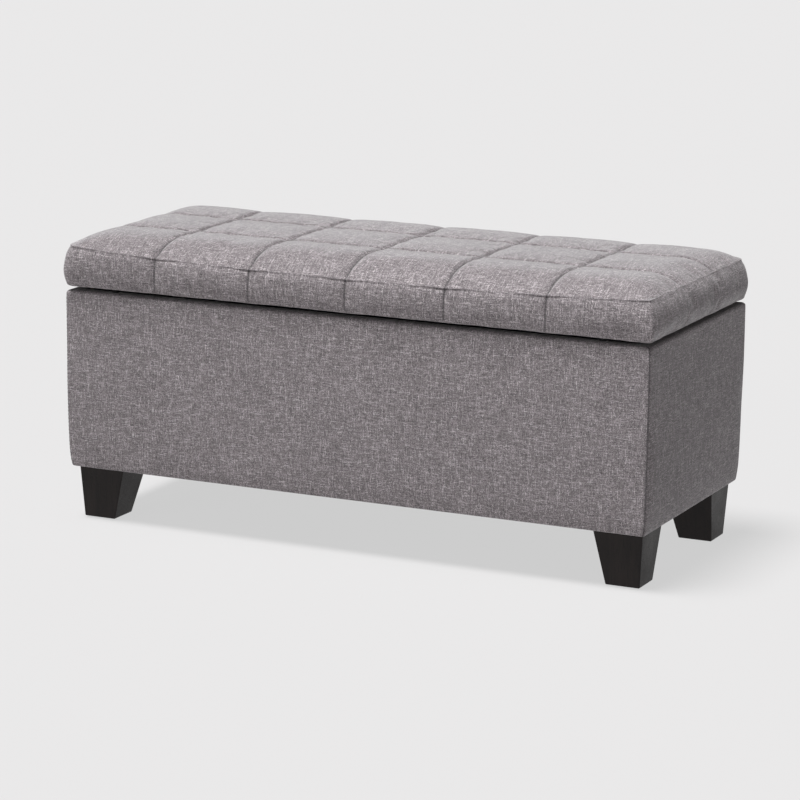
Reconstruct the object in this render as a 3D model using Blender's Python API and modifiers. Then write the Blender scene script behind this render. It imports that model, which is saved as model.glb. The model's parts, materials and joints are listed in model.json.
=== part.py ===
# Storage bench: an upholstered box on four tapered legs, with a cushioned lid that
# turns up on two butt hinges at the back and is carried by two gas struts.
# Metres, +Z up. X runs along the seat and the front faces -Y. The origin lies on
# the floor under the middle of the bench.
import math

import bmesh
import bpy
from mathutils import Matrix, Vector

# Outside sizes, measured over the fabric
BASE_WIDTH = 1.000
BASE_DEPTH = 0.408
BASE_TOP = 0.379
LID_WIDTH = 1.007
LID_FRONT = -0.209
LID_REAR = 0.2085
LID_UNDER = 0.385
LID_TOP = 0.476

# Clearance kept between pieces that touch
GAP = 0.0003

# Sheets and boards
CLOTH = 0.0015
LINING = 0.0010
DUST_CLOTH = 0.0008
WADDING = 0.010
BOARD = 0.012
FLOOR_BOARD = 0.009
RAIL = 0.018
RAIL_WIDTH = 0.030

# Soft roundings of the covered box and of the lid: corner, upper edge, lower edge
BASE_ROUND = (0.008, 0.007, 0.003)
LID_ROUND = (0.018, 0.017, 0.004)
BASE_TURN_UNDER = 0.030
LID_TURN_UNDER = 0.034
DUST_INSET = 0.012
LID_LINING_INSET = 0.014
LID_BOARD_INSET = 0.006

# Legs: a square block whose two outer faces lean in a little and inner faces more
LEG_TOP = 0.0872
LEG_WIDTH = 0.081
LEG_INSET_X = 0.0095
LEG_INSET_Y = 0.016
LEG_OUTER_TAPER = 0.0053
LEG_INNER_TAPER = 0.0200
LEG_EDGE = 0.0018

# Foot glide, driven into the leg on a nail
GLIDE_RADIUS = 0.0125
GLIDE_THICK = 0.0020
NAIL_RADIUS = 0.0012
NAIL_LENGTH = 0.014

# Leg bolt and the tee nut that holds it
BOLT_RADIUS = 0.0040
BOLT_DEPTH = 0.040
NUT_BARREL = 0.0054
NUT_FLANGE = 0.0100
NUT_THICK = 0.0016
NUT_LENGTH = 0.0120
PLATE_SIZE = 0.090

# Butt hinges, closed flat in the gap under the lid
HINGE_X = 0.310
HINGE_LENGTH = 0.060
HINGE_LEAF = 0.0015
HINGE_REACH = 0.0250
KNUCKLE_RADIUS = 0.0027
KNUCKLES = 5
PIN_RADIUS = 0.0013
SCREW_HOLE = 0.0021
SCREW_HEAD = 0.0038

# Gas struts. Both eyes are STRUT_ARM from the hinge axis, so a strut always
# turns half as far as the lid does.
STRUT_X = 0.462
STRUT_ARM = 0.160
STRUT_FOOT_BACK = 0.045
STRUT_HEAD_DROP = 0.006
EYE_RADIUS = 0.0060
EYE_WIDTH = 0.0090
STUD_RADIUS = 0.0025
THREAD_LENGTH = 0.0070
NECK_RADIUS = 0.0045
NECK_LENGTH = 0.0160
TUBE_RADIUS = 0.0075
TUBE_WALL = 0.0010
TUBE_LENGTH = 0.1530
ROD_RADIUS = 0.0030
PISTON_RADIUS = 0.0061
PISTON_LENGTH = 0.0070
GUIDE_LENGTH = 0.0100
BRACKET_SHEET = 0.0015

BUMPER_X = 0.420
BUMPER_RADIUS = 0.0060

# How far each layer's outer face lies inside the outside of the cover
PADDING_IN = CLOTH + GAP
BOARD_IN = PADDING_IN + WADDING + GAP
BOX_IN = BOARD_IN + BOARD
LINING_IN = BOX_IN + GAP
CAVITY_IN = LINING_IN + LINING

# Heights of the layers under the box
LEG_BOTTOM = GLIDE_THICK + GAP
DUST_BOTTOM = LEG_TOP + GAP
COVER_BOTTOM = DUST_BOTTOM + DUST_CLOTH + GAP
BOX_BOTTOM = COVER_BOTTOM + CLOTH + GAP
RAIL_TOP = BOX_BOTTOM + RAIL
FLOOR_BOTTOM = RAIL_TOP + GAP
FLOOR_TOP = FLOOR_BOTTOM + FLOOR_BOARD
BOX_TOP = BASE_TOP - CLOTH - GAP

# Heights of the layers of the lid
LID_COVER_BOTTOM = LID_UNDER + DUST_CLOTH + GAP
LID_BOARD_BOTTOM = LID_COVER_BOTTOM + CLOTH + GAP
FOAM_BOTTOM = LID_BOARD_BOTTOM + BOARD + GAP

# The hinge axis runs along X through the middle of the gap, just behind the box
AXIS_Y = BASE_DEPTH / 2 + 0.0005 + KNUCKLE_RADIUS
AXIS_Z = (BASE_TOP + LID_UNDER) / 2

CORNERS = {"front_left": (-1, -1), "front_right": (1, -1), "rear_left": (-1, 1), "rear_right": (1, 1)}
SIDES = {"left": -1, "right": 1}


def clear_scene():
    for old in list(bpy.data.objects):
        bpy.data.objects.remove(old, do_unlink=True)


def new_collection(name):
    group = bpy.data.collections.new(name)
    bpy.context.scene.collection.children.link(group)
    return group


def new_material(name, colour, roughness, metallic=0.0):
    material = bpy.data.materials.new(name)
    material.use_nodes = True
    shader = material.node_tree.nodes["Principled BSDF"]
    shader.inputs["Base Color"].default_value = (*colour, 1.0)
    shader.inputs["Roughness"].default_value = roughness
    shader.inputs["Metallic"].default_value = metallic
    material.diffuse_color = (*colour, 1.0)
    return material


clear_scene()
BENCH = new_collection("storage_bench")
CUTTERS = new_collection("cutters")

COVER_FABRIC = new_material("cover_fabric", (0.27, 0.265, 0.27), 0.95)
LINING_CLOTH = new_material("lining_cloth", (0.030, 0.030, 0.032), 0.95)
DUST_CLOTH_BLACK = new_material("dust_cloth", (0.018, 0.018, 0.019), 0.95)
FOAM = new_material("foam", (0.78, 0.72, 0.55), 0.95)
PLYWOOD = new_material("plywood", (0.62, 0.46, 0.29), 0.70)
TIMBER = new_material("timber", (0.66, 0.50, 0.31), 0.70)
LEG_STAIN = new_material("leg_stain", (0.022, 0.013, 0.010), 0.35)
ZINC = new_material("zinc_steel", (0.62, 0.62, 0.60), 0.35, 1.0)
HINGE_STEEL = new_material("hinge_steel", (0.55, 0.55, 0.54), 0.32, 1.0)
TUBE_PAINT = new_material("strut_paint", (0.020, 0.020, 0.021), 0.40)
ROD_CHROME = new_material("rod_chrome", (0.80, 0.80, 0.81), 0.10, 1.0)
BLACK_PLASTIC = new_material("black_plastic", (0.020, 0.020, 0.022), 0.50)
RUBBER = new_material("rubber", (0.025, 0.025, 0.025), 0.80)


def place(obj, parent):
    """Parents an object and keeps it where it is in the world."""
    bpy.context.view_layer.update()
    world = obj.matrix_world.copy()
    obj.parent = parent
    obj.matrix_parent_inverse = Matrix.Identity(4)
    obj.matrix_basis = parent.matrix_world.inverted() @ world


def new_axis(name, location, turn=0.0, parent=None):
    """An empty on a joint's axis, with its local Z turned about X."""
    axis = bpy.data.objects.new(name, None)
    axis.empty_display_size = 0.03
    axis.location = location
    axis.rotation_euler.x = turn
    BENCH.objects.link(axis)
    if parent:
        place(axis, parent)
    bpy.context.view_layer.update()
    return axis


def new_object(name, bm, location, material=None, group=None):
    """Turns a bmesh into an object, in the bench unless a collection is given."""
    mesh = bpy.data.meshes.new(name)
    bm.to_mesh(mesh)
    bm.free()
    obj = bpy.data.objects.new(name, mesh)
    obj.location = location
    (group or BENCH).objects.link(obj)
    if material:
        mesh.materials.append(material)
    return obj


def as_cutter(obj):
    obj.hide_render = True
    obj.display_type = "WIRE"
    return obj


def combine(obj, other, operation):
    modifier = obj.modifiers.new(operation.lower(), "BOOLEAN")
    modifier.operation = operation
    modifier.solver = "EXACT"
    modifier.object = other


def cube_bmesh(size):
    bm = bmesh.new()
    bmesh.ops.create_cube(bm, size=1.0)
    bmesh.ops.scale(bm, verts=bm.verts, vec=size)
    return bm


def middle_and_size(low, high):
    return (Vector(low) + Vector(high)) / 2, Vector(high) - Vector(low)


def block(name, low, high, material=None, edge=0.0):
    """A plain block between two corners, with its edges broken by a Bevel."""
    middle, size = middle_and_size(low, high)
    obj = new_object(name, cube_bmesh(size), middle, material, None if material else CUTTERS)
    if edge:
        bevel = obj.modifiers.new("edges", "BEVEL")
        bevel.width = edge
        bevel.segments = 1
    return obj if material else as_cutter(obj)


def bevel_edges(bm, edges, radius, segments):
    bmesh.ops.bevel(
        bm,
        geom=edges,
        offset=radius,
        offset_type="OFFSET",
        segments=segments,
        profile=0.5,
        affect="EDGES",
        material=-1,
    )


def level_edges(bm, height):
    """Edges that lie flat at one height and belong to an upright face."""
    found = []
    for edge in bm.edges:
        at_height = all(abs(v.co.z - height) < 1e-6 for v in edge.verts)
        upright = any(abs(f.normal.z) < 0.5 for f in edge.link_faces)
        if at_height and upright:
            found.append(edge)
    return found


def soft_block(name, low, high, rounding, material=None):
    """A block with rounded upright corners and rounded upper and lower edges."""
    corner, upper, lower = rounding
    middle, size = middle_and_size(low, high)
    bm = cube_bmesh(size)
    uprights = [e for e in bm.edges if abs(e.verts[0].co.z - e.verts[1].co.z) > size.z / 2]
    bevel_edges(bm, uprights, corner, 4)
    for radius, height, segments in ((upper, size.z / 2, 3), (lower, -size.z / 2, 2)):
        if radius > 0:
            bm.normal_update()
            bevel_edges(bm, level_edges(bm, height), radius, segments)
    obj = new_object(name, bm, middle, material, None if material else CUTTERS)
    return obj if material else as_cutter(obj)


def smaller(rounding, amount):
    return tuple(max(radius - amount, 0.0) for radius in rounding)


def rod(name, radius, start, end, sides=16, material=None):
    """A straight round bar from one point to another."""
    start, end = Vector(start), Vector(end)
    bm = bmesh.new()
    bmesh.ops.create_cone(
        bm,
        cap_ends=True,
        segments=sides,
        radius1=radius,
        radius2=radius,
        depth=(end - start).length,
    )
    obj = new_object(name, bm, (start + end) / 2, material, None if material else CUTTERS)
    obj.rotation_euler = (end - start).to_track_quat("Z", "Y").to_euler()
    return obj if material else as_cutter(obj)


def turned(name, profile, location, material, steps=24, closed=False):
    """A turned piece about its own Z, from (radius, height) points that run down the outer side."""
    bm = bmesh.new()
    points = [bm.verts.new((radius, 0.0, height)) for radius, height in profile]
    for first, second in zip(points, points[1:]):
        bm.edges.new((first, second))
    if closed:
        bm.edges.new((points[-1], points[0]))
    obj = new_object(name, bm, location, material)
    screw = obj.modifiers.new("turn", "SCREW")
    screw.steps = steps
    screw.render_steps = steps
    screw.use_merge_vertices = True
    screw.merge_threshold = 0.00001
    screw.use_smooth_shade = False
    return obj


def half(depth):
    """Half width and half depth of the box, at a depth below the outside of the cover."""
    return BASE_WIDTH / 2 - depth, BASE_DEPTH / 2 - depth


# ---- the box ----


def box_walls():
    """Front and rear boards run the full length, and the end boards stand between them."""
    x, y = half(BOARD_IN)
    inner_x, inner_y = half(BOX_IN)
    for name, side in (("front_board", -1), ("rear_board", 1)):
        near, far = sorted((side * y, side * inner_y))
        block(name, (-x, near, BOX_BOTTOM), (x, far, BOX_TOP), PLYWOOD)
    for name, side in (("left_board", -1), ("right_board", 1)):
        near, far = sorted((side * x, side * inner_x))
        end = inner_y - GAP
        block(name, (near, -end, BOX_BOTTOM), (far, end, BOX_TOP), PLYWOOD)


def box_padding():
    """Four sheets of wadding between the boards and the cover, shaped by the inside of the cover."""
    x, y = half(PADDING_IN)
    inner_x, inner_y = half(PADDING_IN + WADDING)
    inside = soft_block(
        "cover_space",
        (-x, -y, BOX_BOTTOM),
        (x, y, BOX_TOP),
        smaller(BASE_ROUND, PADDING_IN),
    )
    end = inner_y - GAP
    sheets = {
        "front_padding": ((-x, -y), (x, -inner_y)),
        "rear_padding": ((-x, inner_y), (x, y)),
        "left_padding": ((-x, -end), (-inner_x, end)),
        "right_padding": ((inner_x, -end), (x, end)),
    }
    over = GAP
    for name, (low, high) in sheets.items():
        sheet = block(
            name,
            (low[0], low[1], BOX_BOTTOM - over),
            (high[0], high[1], BOX_TOP + over),
            FOAM,
        )
        combine(sheet, inside, "INTERSECT")


def sleeve(name, low, high, rounding, material):
    """A cloth skin all round a block, with its cutter for the hollow inside."""
    skin = soft_block(name, low, high, rounding, material)
    low, high = Vector(low), Vector(high)
    cloth = Vector((CLOTH, CLOTH, CLOTH))
    hollow = soft_block(name + "_hollow", low + cloth, high - cloth, smaller(rounding, CLOTH))
    combine(skin, hollow, "DIFFERENCE")
    return skin


def base_cover():
    """The fabric sleeve: it turns over the rim to the inner face of the boards, and under the box."""
    x, y = half(0.0)
    cover = sleeve("base_cover", (-x, -y, COVER_BOTTOM), (x, y, BASE_TOP), BASE_ROUND, COVER_FABRIC)
    mouth_x, mouth_y = half(BOX_IN)
    mouth = block(
        "cover_mouth",
        (-mouth_x, -mouth_y, BASE_TOP - 2 * CLOTH),
        (mouth_x, mouth_y, BASE_TOP + CLOTH),
    )
    combine(cover, mouth, "DIFFERENCE")
    under_x, under_y = half(BASE_TURN_UNDER)
    under = block(
        "cover_under",
        (-under_x, -under_y, COVER_BOTTOM - CLOTH),
        (under_x, under_y, COVER_BOTTOM + 2 * CLOTH),
    )
    combine(cover, under, "DIFFERENCE")


def box_lining():
    """An open cloth tray that lines the storage space."""
    x, y = half(LINING_IN)
    low = (-x, -y, FLOOR_TOP + GAP)
    high = (x, y, BOX_TOP - 2 * GAP)
    middle, size = middle_and_size(low, high)
    bm = cube_bmesh(size)
    top = [f for f in bm.faces if f.normal.z > 0.5]
    bmesh.ops.delete(bm, geom=top, context="FACES_ONLY")
    tray = new_object("box_lining", bm, middle, LINING_CLOTH)
    wall = tray.modifiers.new("wall", "SOLIDIFY")
    wall.thickness = LINING
    wall.offset = -1.0
    wall.use_even_offset = True


def box_floor():
    """The floor board and the three rails that carry it."""
    x, y = half(LINING_IN)
    block("bottom_board", (-x, -y, FLOOR_BOTTOM), (x, y, FLOOR_TOP), PLYWOOD)
    rail_x = x - PLATE_SIZE - GAP
    inner = y - RAIL_WIDTH
    block("front_rail", (-rail_x, -y, BOX_BOTTOM), (rail_x, -inner, RAIL_TOP), TIMBER)
    block("rear_rail", (-rail_x, inner, BOX_BOTTOM), (rail_x, y, RAIL_TOP), TIMBER)
    across = RAIL_WIDTH / 2
    end = inner - GAP
    block("cross_rail", (-across, -end, BOX_BOTTOM), (across, end, RAIL_TOP), TIMBER)


def leg_centre(side_x, side_y):
    """Where the bolt of a leg stands: the middle of the leg's top."""
    x, y = half(LEG_WIDTH / 2)
    return side_x * (x - LEG_INSET_X), side_y * (y - LEG_INSET_Y)


def dust_cover():
    """Thin black cloth stapled under the box, with a hole for each leg bolt."""
    x, y = half(DUST_INSET)
    rounding = (0.004, 0.0, 0.0)
    low = (-x, -y, DUST_BOTTOM)
    high = (x, y, DUST_BOTTOM + DUST_CLOTH)
    sheet = soft_block("dust_cover", low, high, rounding, DUST_CLOTH_BLACK)
    for name, sides in CORNERS.items():
        cx, cy = leg_centre(*sides)
        hole = rod("dust_hole_" + name, BOLT_RADIUS + GAP, (cx, cy, LEG_TOP - RAIL), (cx, cy, RAIL_TOP))
        combine(sheet, hole, "DIFFERENCE")


# ---- the legs and what holds them ----


def leg(name, side_x, side_y):
    """A tapered block with broken edges, a blind hole for its bolt and one for the glide's nail."""
    cx, cy = leg_centre(side_x, side_y)
    height = LEG_TOP - LEG_BOTTOM
    bm = cube_bmesh((LEG_WIDTH, LEG_WIDTH, height))
    for v in bm.verts:
        if v.co.z < 0:
            for axis, side in ((0, side_x), (1, side_y)):
                outer = v.co[axis] * side > 0
                taper = LEG_OUTER_TAPER if outer else LEG_INNER_TAPER
                v.co[axis] -= math.copysign(taper, v.co[axis])
    post = new_object("leg_" + name, bm, (cx, cy, LEG_BOTTOM + height / 2), LEG_STAIN)
    edges = post.modifiers.new("edges", "BEVEL")
    edges.width = LEG_EDGE
    edges.segments = 2
    bolt_hole = rod(
        "bolt_hole_" + name,
        BOLT_RADIUS + GAP,
        (cx, cy, LEG_TOP - BOLT_DEPTH - GAP),
        (cx, cy, LEG_TOP + RAIL),
    )
    combine(post, bolt_hole, "DIFFERENCE")
    gx, gy = glide_centre(side_x, side_y)
    nail_hole = rod(
        "nail_hole_" + name,
        NAIL_RADIUS + GAP,
        (gx, gy, 0.0),
        (gx, gy, GLIDE_THICK + NAIL_LENGTH + GAP),
        12,
    )
    combine(post, nail_hole, "DIFFERENCE")


def glide_centre(side_x, side_y):
    """The middle of the leg's foot, which the taper moves outwards from the middle of its top."""
    cx, cy = leg_centre(side_x, side_y)
    shift = (LEG_INNER_TAPER - LEG_OUTER_TAPER) / 2
    return cx + side_x * shift, cy + side_y * shift


def glide(name, side_x, side_y):
    """A low plastic button with a nail up its middle."""
    gx, gy = glide_centre(side_x, side_y)
    edge = 0.0006
    profile = (
        (0.0, GLIDE_THICK + NAIL_LENGTH),
        (NAIL_RADIUS, GLIDE_THICK + NAIL_LENGTH - edge),
        (NAIL_RADIUS, GLIDE_THICK),
        (GLIDE_RADIUS, GLIDE_THICK),
        (GLIDE_RADIUS, edge),
        (GLIDE_RADIUS - edge, 0.0),
        (0.0, 0.0),
    )
    turned("glide_" + name, profile, (gx, gy, 0.0), BLACK_PLASTIC, 20)


def leg_bolt(name, side_x, side_y):
    """A plain round shank from inside the leg to the top of the tee nut."""
    cx, cy = leg_centre(side_x, side_y)
    bottom = LEG_TOP - BOLT_DEPTH
    top = RAIL_TOP - NUT_THICK
    edge = 0.0008
    profile = (
        (0.0, top),
        (BOLT_RADIUS - edge, top),
        (BOLT_RADIUS, top - edge),
        (BOLT_RADIUS, bottom + edge),
        (BOLT_RADIUS - 2 * edge, bottom),
        (0.0, bottom),
    )
    turned("leg_bolt_" + name, profile, (cx, cy, 0.0), ZINC, 16)


def tee_nut(name, side_x, side_y):
    """A flanged sleeve let into the top of the corner plate."""
    cx, cy = leg_centre(side_x, side_y)
    bore = BOLT_RADIUS + GAP
    top = RAIL_TOP - GAP
    profile = (
        (bore, top),
        (NUT_FLANGE, top),
        (NUT_FLANGE, top - NUT_THICK),
        (NUT_BARREL, top - NUT_THICK),
        (NUT_BARREL, top - NUT_LENGTH),
        (bore, top - NUT_LENGTH),
    )
    turned("tee_nut_" + name, profile, (cx, cy, 0.0), ZINC, 16, closed=True)


def corner_plate(name, side_x, side_y):
    """A square of timber in each bottom corner of the box, bored for the tee nut."""
    x, y = half(LINING_IN)
    low_x, high_x = sorted((side_x * x, side_x * (x - PLATE_SIZE)))
    low_y, high_y = sorted((side_y * y, side_y * (y - PLATE_SIZE)))
    plate = block("corner_plate_" + name, (low_x, low_y, BOX_BOTTOM), (high_x, high_y, RAIL_TOP), TIMBER)
    cx, cy = leg_centre(side_x, side_y)
    barrel = rod("barrel_hole_" + name, NUT_BARREL + GAP, (cx, cy, 0.0), (cx, cy, FLOOR_TOP))
    flange_bottom = RAIL_TOP - NUT_THICK - 2 * GAP
    flange = rod("flange_hole_" + name, NUT_FLANGE + GAP, (cx, cy, flange_bottom), (cx, cy, FLOOR_TOP))
    combine(plate, barrel, "DIFFERENCE")
    combine(plate, flange, "DIFFERENCE")


# ---- the lid ----


def lid_span(inset):
    """Low and high corners of the lid's outline, drawn in by an amount."""
    x = LID_WIDTH / 2 - inset
    return (-x, LID_FRONT + inset), (x, LID_REAR - inset)


def lid_block(name, inset, bottom, top, rounding, material=None):
    low, high = lid_span(inset)
    return soft_block(name, (*low, bottom), (*high, top), rounding, material)


def lid_pieces(axis):
    """The lid from the bottom up: lining, board and foam, in one fabric cover."""
    flat = (0.010, 0.0, 0.0)
    lining_top = LID_UNDER + DUST_CLOTH
    lining = lid_block("lid_lining", LID_LINING_INSET, LID_UNDER, lining_top, flat, LINING_CLOTH)
    board_top = LID_BOARD_BOTTOM + BOARD
    board = lid_block(
        "lid_board", PADDING_IN + LID_BOARD_INSET, LID_BOARD_BOTTOM, board_top, flat, PLYWOOD
    )
    corner, upper, _ = smaller(LID_ROUND, PADDING_IN)
    foam_top = LID_TOP - PADDING_IN
    foam = lid_block("lid_foam", PADDING_IN, FOAM_BOTTOM, foam_top, (corner, upper, 0.0), FOAM)
    low, high = lid_span(0.0)
    cover = sleeve(
        "lid_cover", (*low, LID_COVER_BOTTOM), (*high, LID_TOP), LID_ROUND, COVER_FABRIC
    )
    low, high = lid_span(LID_TURN_UNDER)
    under = block(
        "lid_cover_under",
        (*low, LID_COVER_BOTTOM - CLOTH),
        (*high, LID_COVER_BOTTOM + 2 * CLOTH),
    )
    combine(cover, under, "DIFFERENCE")
    for piece in (lining, board, foam, cover):
        place(piece, axis)


# ---- the hinges ----


def knuckle_span(index):
    """Start and end of one knuckle along the pin, counted from the hinge's left end."""
    pitch = HINGE_LENGTH / KNUCKLES
    start = index * pitch - HINGE_LENGTH / 2
    inner_start = start + (GAP if index else 0.0)
    return inner_start, start + pitch


def knuckle_set(name, centre_x, indices):
    """Round knuckles along the hinge axis, as one helper shape."""
    bm = bmesh.new()
    along_x = Matrix.Rotation(math.pi / 2, 4, "Y")
    for index in indices:
        start, end = knuckle_span(index)
        bmesh.ops.create_cone(
            bm,
            cap_ends=True,
            segments=20,
            radius1=KNUCKLE_RADIUS,
            radius2=KNUCKLE_RADIUS,
            depth=end - start,
            matrix=Matrix.Translation(((start + end) / 2, 0.0, 0.0)) @ along_x,
        )
    return as_cutter(new_object(name, bm, (centre_x, AXIS_Y, AXIS_Z), None, CUTTERS))


def hinge_leaf(name, centre_x, side, own, others):
    """One leaf: side is 1 over the axis and -1 under it. It has its own knuckles and room for the others."""
    outer = AXIS_Z + side * KNUCKLE_RADIUS
    inner = outer - side * HINGE_LEAF
    low_z, high_z = sorted((outer, inner))
    end = HINGE_LENGTH / 2
    leaf = block(
        name,
        (centre_x - end, AXIS_Y - HINGE_REACH, low_z),
        (centre_x + end, AXIS_Y, high_z),
        HINGE_STEEL,
    )
    combine(leaf, knuckle_set(name + "_knuckles", centre_x, own), "UNION")
    room = KNUCKLE_RADIUS + 2 * GAP
    for index in others:
        start, stop = knuckle_span(index)
        space = block(
            f"{name}_room_{index}",
            (centre_x + start - GAP, AXIS_Y - room, AXIS_Z - room),
            (centre_x + stop + GAP, AXIS_Y + room, AXIS_Z + room),
        )
        combine(leaf, space, "DIFFERENCE")
    over = HINGE_LENGTH
    bore_start = (centre_x - over, AXIS_Y, AXIS_Z)
    bore_end = (centre_x + over, AXIS_Y, AXIS_Z)
    combine(leaf, rod(name + "_bore", PIN_RADIUS + GAP, bore_start, bore_end), "DIFFERENCE")
    for index in (-1, 0, 1):
        x = centre_x + index * HINGE_LENGTH / 3
        y = AXIS_Y - HINGE_REACH * (0.72 if index else 0.50)
        hole = screw_hole(f"{name}_screw_{index + 1}", x, y, inner, -side)
        combine(leaf, hole, "DIFFERENCE")
    return leaf


def screw_hole(name, x, y, face, outwards):
    """A countersunk hole whose wide end is on the leaf's free face."""
    bm = bmesh.new()
    sink = SCREW_HEAD - SCREW_HOLE
    shank = 2 * HINGE_LEAF
    profile = ((0.0, GAP), (SCREW_HEAD + GAP, GAP), (SCREW_HOLE, -sink), (SCREW_HOLE, -shank), (0.0, -shank))
    points = [bm.verts.new((radius, 0.0, height)) for radius, height in profile]
    edges = [bm.edges.new(pair) for pair in zip(points, points[1:])]
    bmesh.ops.spin(
        bm,
        geom=points + edges,
        cent=(0.0, 0.0, 0.0),
        axis=(0.0, 0.0, 1.0),
        angle=2 * math.pi,
        steps=12,
        use_merge=True,
    )
    bmesh.ops.remove_doubles(bm, verts=bm.verts, dist=0.00001)
    bmesh.ops.recalc_face_normals(bm, faces=bm.faces)
    hole = new_object(name, bm, (x, y, face), None, CUTTERS)
    if outwards < 0:
        hole.rotation_euler.x = math.pi
    return as_cutter(hole)


def hinge(name, centre_x, axis):
    """Lower leaf on the rear board's edge, upper leaf under the lid, and the pin through both."""
    odd = range(1, KNUCKLES, 2)
    even = range(0, KNUCKLES, 2)
    hinge_leaf("hinge_lower_leaf_" + name, centre_x, -1, even, odd)
    upper = hinge_leaf("hinge_upper_leaf_" + name, centre_x, 1, odd, even)
    place(upper, axis)
    end = HINGE_LENGTH / 2
    start = (centre_x - end, AXIS_Y, AXIS_Z)
    stop = (centre_x + end, AXIS_Y, AXIS_Z)
    rod("hinge_pin_" + name, PIN_RADIUS, start, stop, 16, ZINC)


# ---- the gas struts ----


def strut_foot():
    """The lower eye's place beside the hinge axis: y and z."""
    drop = math.sqrt(STRUT_ARM**2 - STRUT_FOOT_BACK**2)
    return AXIS_Y - STRUT_FOOT_BACK, AXIS_Z - drop


def strut_head():
    """The upper eye's place under the closed lid: y and z."""
    forward = math.sqrt(STRUT_ARM**2 - STRUT_HEAD_DROP**2)
    return AXIS_Y - forward, AXIS_Z - STRUT_HEAD_DROP


def stud(name, side, y, z, plate_face):
    """A pin that points to the middle of the bench, with a shoulder and a head either side of the eye."""
    eye = EYE_WIDTH / 2 + 2 * GAP
    base = plate_face - STRUT_X + GAP
    head = eye + 0.0015
    profile = (
        (0.0, base),
        (0.0040, base),
        (0.0040, eye),
        (STUD_RADIUS, eye),
        (STUD_RADIUS, -eye),
        (0.0042, -eye),
        (0.0042, -head),
        (0.0, -head),
    )
    pin = turned(name, profile, (side * STRUT_X, y, z), None, 20)
    pin.rotation_euler.y = side * math.pi / 2
    BENCH.objects.unlink(pin)
    CUTTERS.objects.link(pin)
    return as_cutter(pin)


def plate_holes(plate, name, places, direction):
    """Plain holes for the bracket's screws."""
    for index, spot in enumerate(places):
        spot = Vector(spot)
        reach = Vector(direction) * 0.01
        hole = rod(f"{name}_hole_{index}", SCREW_HOLE, spot - reach, spot + reach, 12)
        combine(plate, hole, "DIFFERENCE")


def foot_bracket(name, side):
    """A plate on the end wall of the box with the lower stud."""
    y, z = strut_foot()
    wall = half(CAVITY_IN)[0] - GAP
    face = wall - BRACKET_SHEET
    low_x, high_x = sorted((side * wall, side * face))
    tall = 0.019
    wide = 0.010
    plate = block(
        "strut_foot_bracket_" + name,
        (low_x, y - wide, z - tall),
        (high_x, y + wide, z + tall),
        HINGE_STEEL,
        0.0004,
    )
    combine(plate, stud("foot_stud_" + name, side, y, z, face), "UNION")
    middle = side * (wall + face) / 2
    holes = [(middle, y, z + step * 0.0135) for step in (-1, 1)]
    plate_holes(plate, "foot_bracket_" + name, holes, (1, 0, 0))


def head_bracket(name, side, axis):
    """An angle under the lid: a flat plate with screw holes, and an ear that holds the upper stud."""
    y, z = strut_head()
    top = AXIS_Z + KNUCKLE_RADIUS
    ear_in = STRUT_X + 0.0090
    low_x, high_x = sorted((side * ear_in, side * (ear_in + BRACKET_SHEET)))
    wide = 0.009
    ear_name = "strut_head_bracket_" + name
    ear = block(ear_name, (low_x, y - wide, z - 0.0065), (high_x, y + wide, top), HINGE_STEEL, 0.0004)
    inner = ear_in - 0.020
    flat_x = sorted((side * inner, side * (ear_in + BRACKET_SHEET - 2 * GAP)))
    long = 0.024
    flat = block(
        ear_name + "_flat",
        (flat_x[0], y - long, top - BRACKET_SHEET),
        (flat_x[1], y + long, top - GAP / 2),
    )
    combine(ear, flat, "UNION")
    combine(ear, stud("head_stud_" + name, side, y, z, ear_in), "UNION")
    holes = [(side * (inner + 0.010), y + step * 0.018, top) for step in (-1, 1)]
    plate_holes(ear, "head_bracket_" + name, holes, (0, 0, 1))
    place(ear, axis)


def socket(name, axis, towards):
    """An eye on a stud, with a neck along the strut. towards is 1 up the strut and -1 down it."""
    bm = bmesh.new()
    bmesh.ops.create_cone(
        bm,
        cap_ends=True,
        segments=20,
        radius1=EYE_RADIUS,
        radius2=EYE_RADIUS,
        depth=EYE_WIDTH,
        matrix=Matrix.Rotation(math.pi / 2, 4, "Y"),
    )
    eye = new_object(name, bm, axis.matrix_world.translation, BLACK_PLASTIC)
    eye.rotation_euler = axis.matrix_world.to_euler()
    along = axis.matrix_world.to_3x3() @ Vector((0.0, 0.0, towards))
    centre = axis.matrix_world.translation
    end = centre + along * NECK_LENGTH
    combine(eye, rod(name + "_neck", NECK_RADIUS, centre, end), "UNION")
    sideways = Vector((EYE_WIDTH, 0.0, 0.0))
    bore = rod(name + "_bore", STUD_RADIUS + GAP, centre - sideways, centre + sideways, 20)
    combine(eye, bore, "DIFFERENCE")
    thread_bottom = end - along * (THREAD_LENGTH + GAP)
    thread = rod(name + "_thread", STUD_RADIUS + GAP, thread_bottom, end + along * GAP)
    combine(eye, thread, "DIFFERENCE")
    place(eye, axis)


def strut_tube(name, axis):
    """The pressure tube: a threaded tail in the lower socket, a hollow bore, and a guide at the top."""
    bottom = NECK_LENGTH + GAP
    top = bottom + TUBE_LENGTH
    bore = TUBE_RADIUS - TUBE_WALL
    guide = ROD_RADIUS + GAP
    edge = 0.0008
    floor = bottom + 0.003
    profile = (
        (0.0, floor),
        (bore, floor),
        (bore, top - GUIDE_LENGTH),
        (guide, top - GUIDE_LENGTH),
        (guide, top),
        (TUBE_RADIUS - edge, top),
        (TUBE_RADIUS, top - edge),
        (TUBE_RADIUS, bottom + edge),
        (TUBE_RADIUS - edge, bottom),
        (STUD_RADIUS, bottom),
        (STUD_RADIUS, bottom - THREAD_LENGTH),
        (0.0, bottom - THREAD_LENGTH),
    )
    tube = turned("strut_tube_" + name, profile, axis.matrix_world.translation, TUBE_PAINT)
    tube.rotation_euler = axis.matrix_world.to_euler()
    place(tube, axis)


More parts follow.
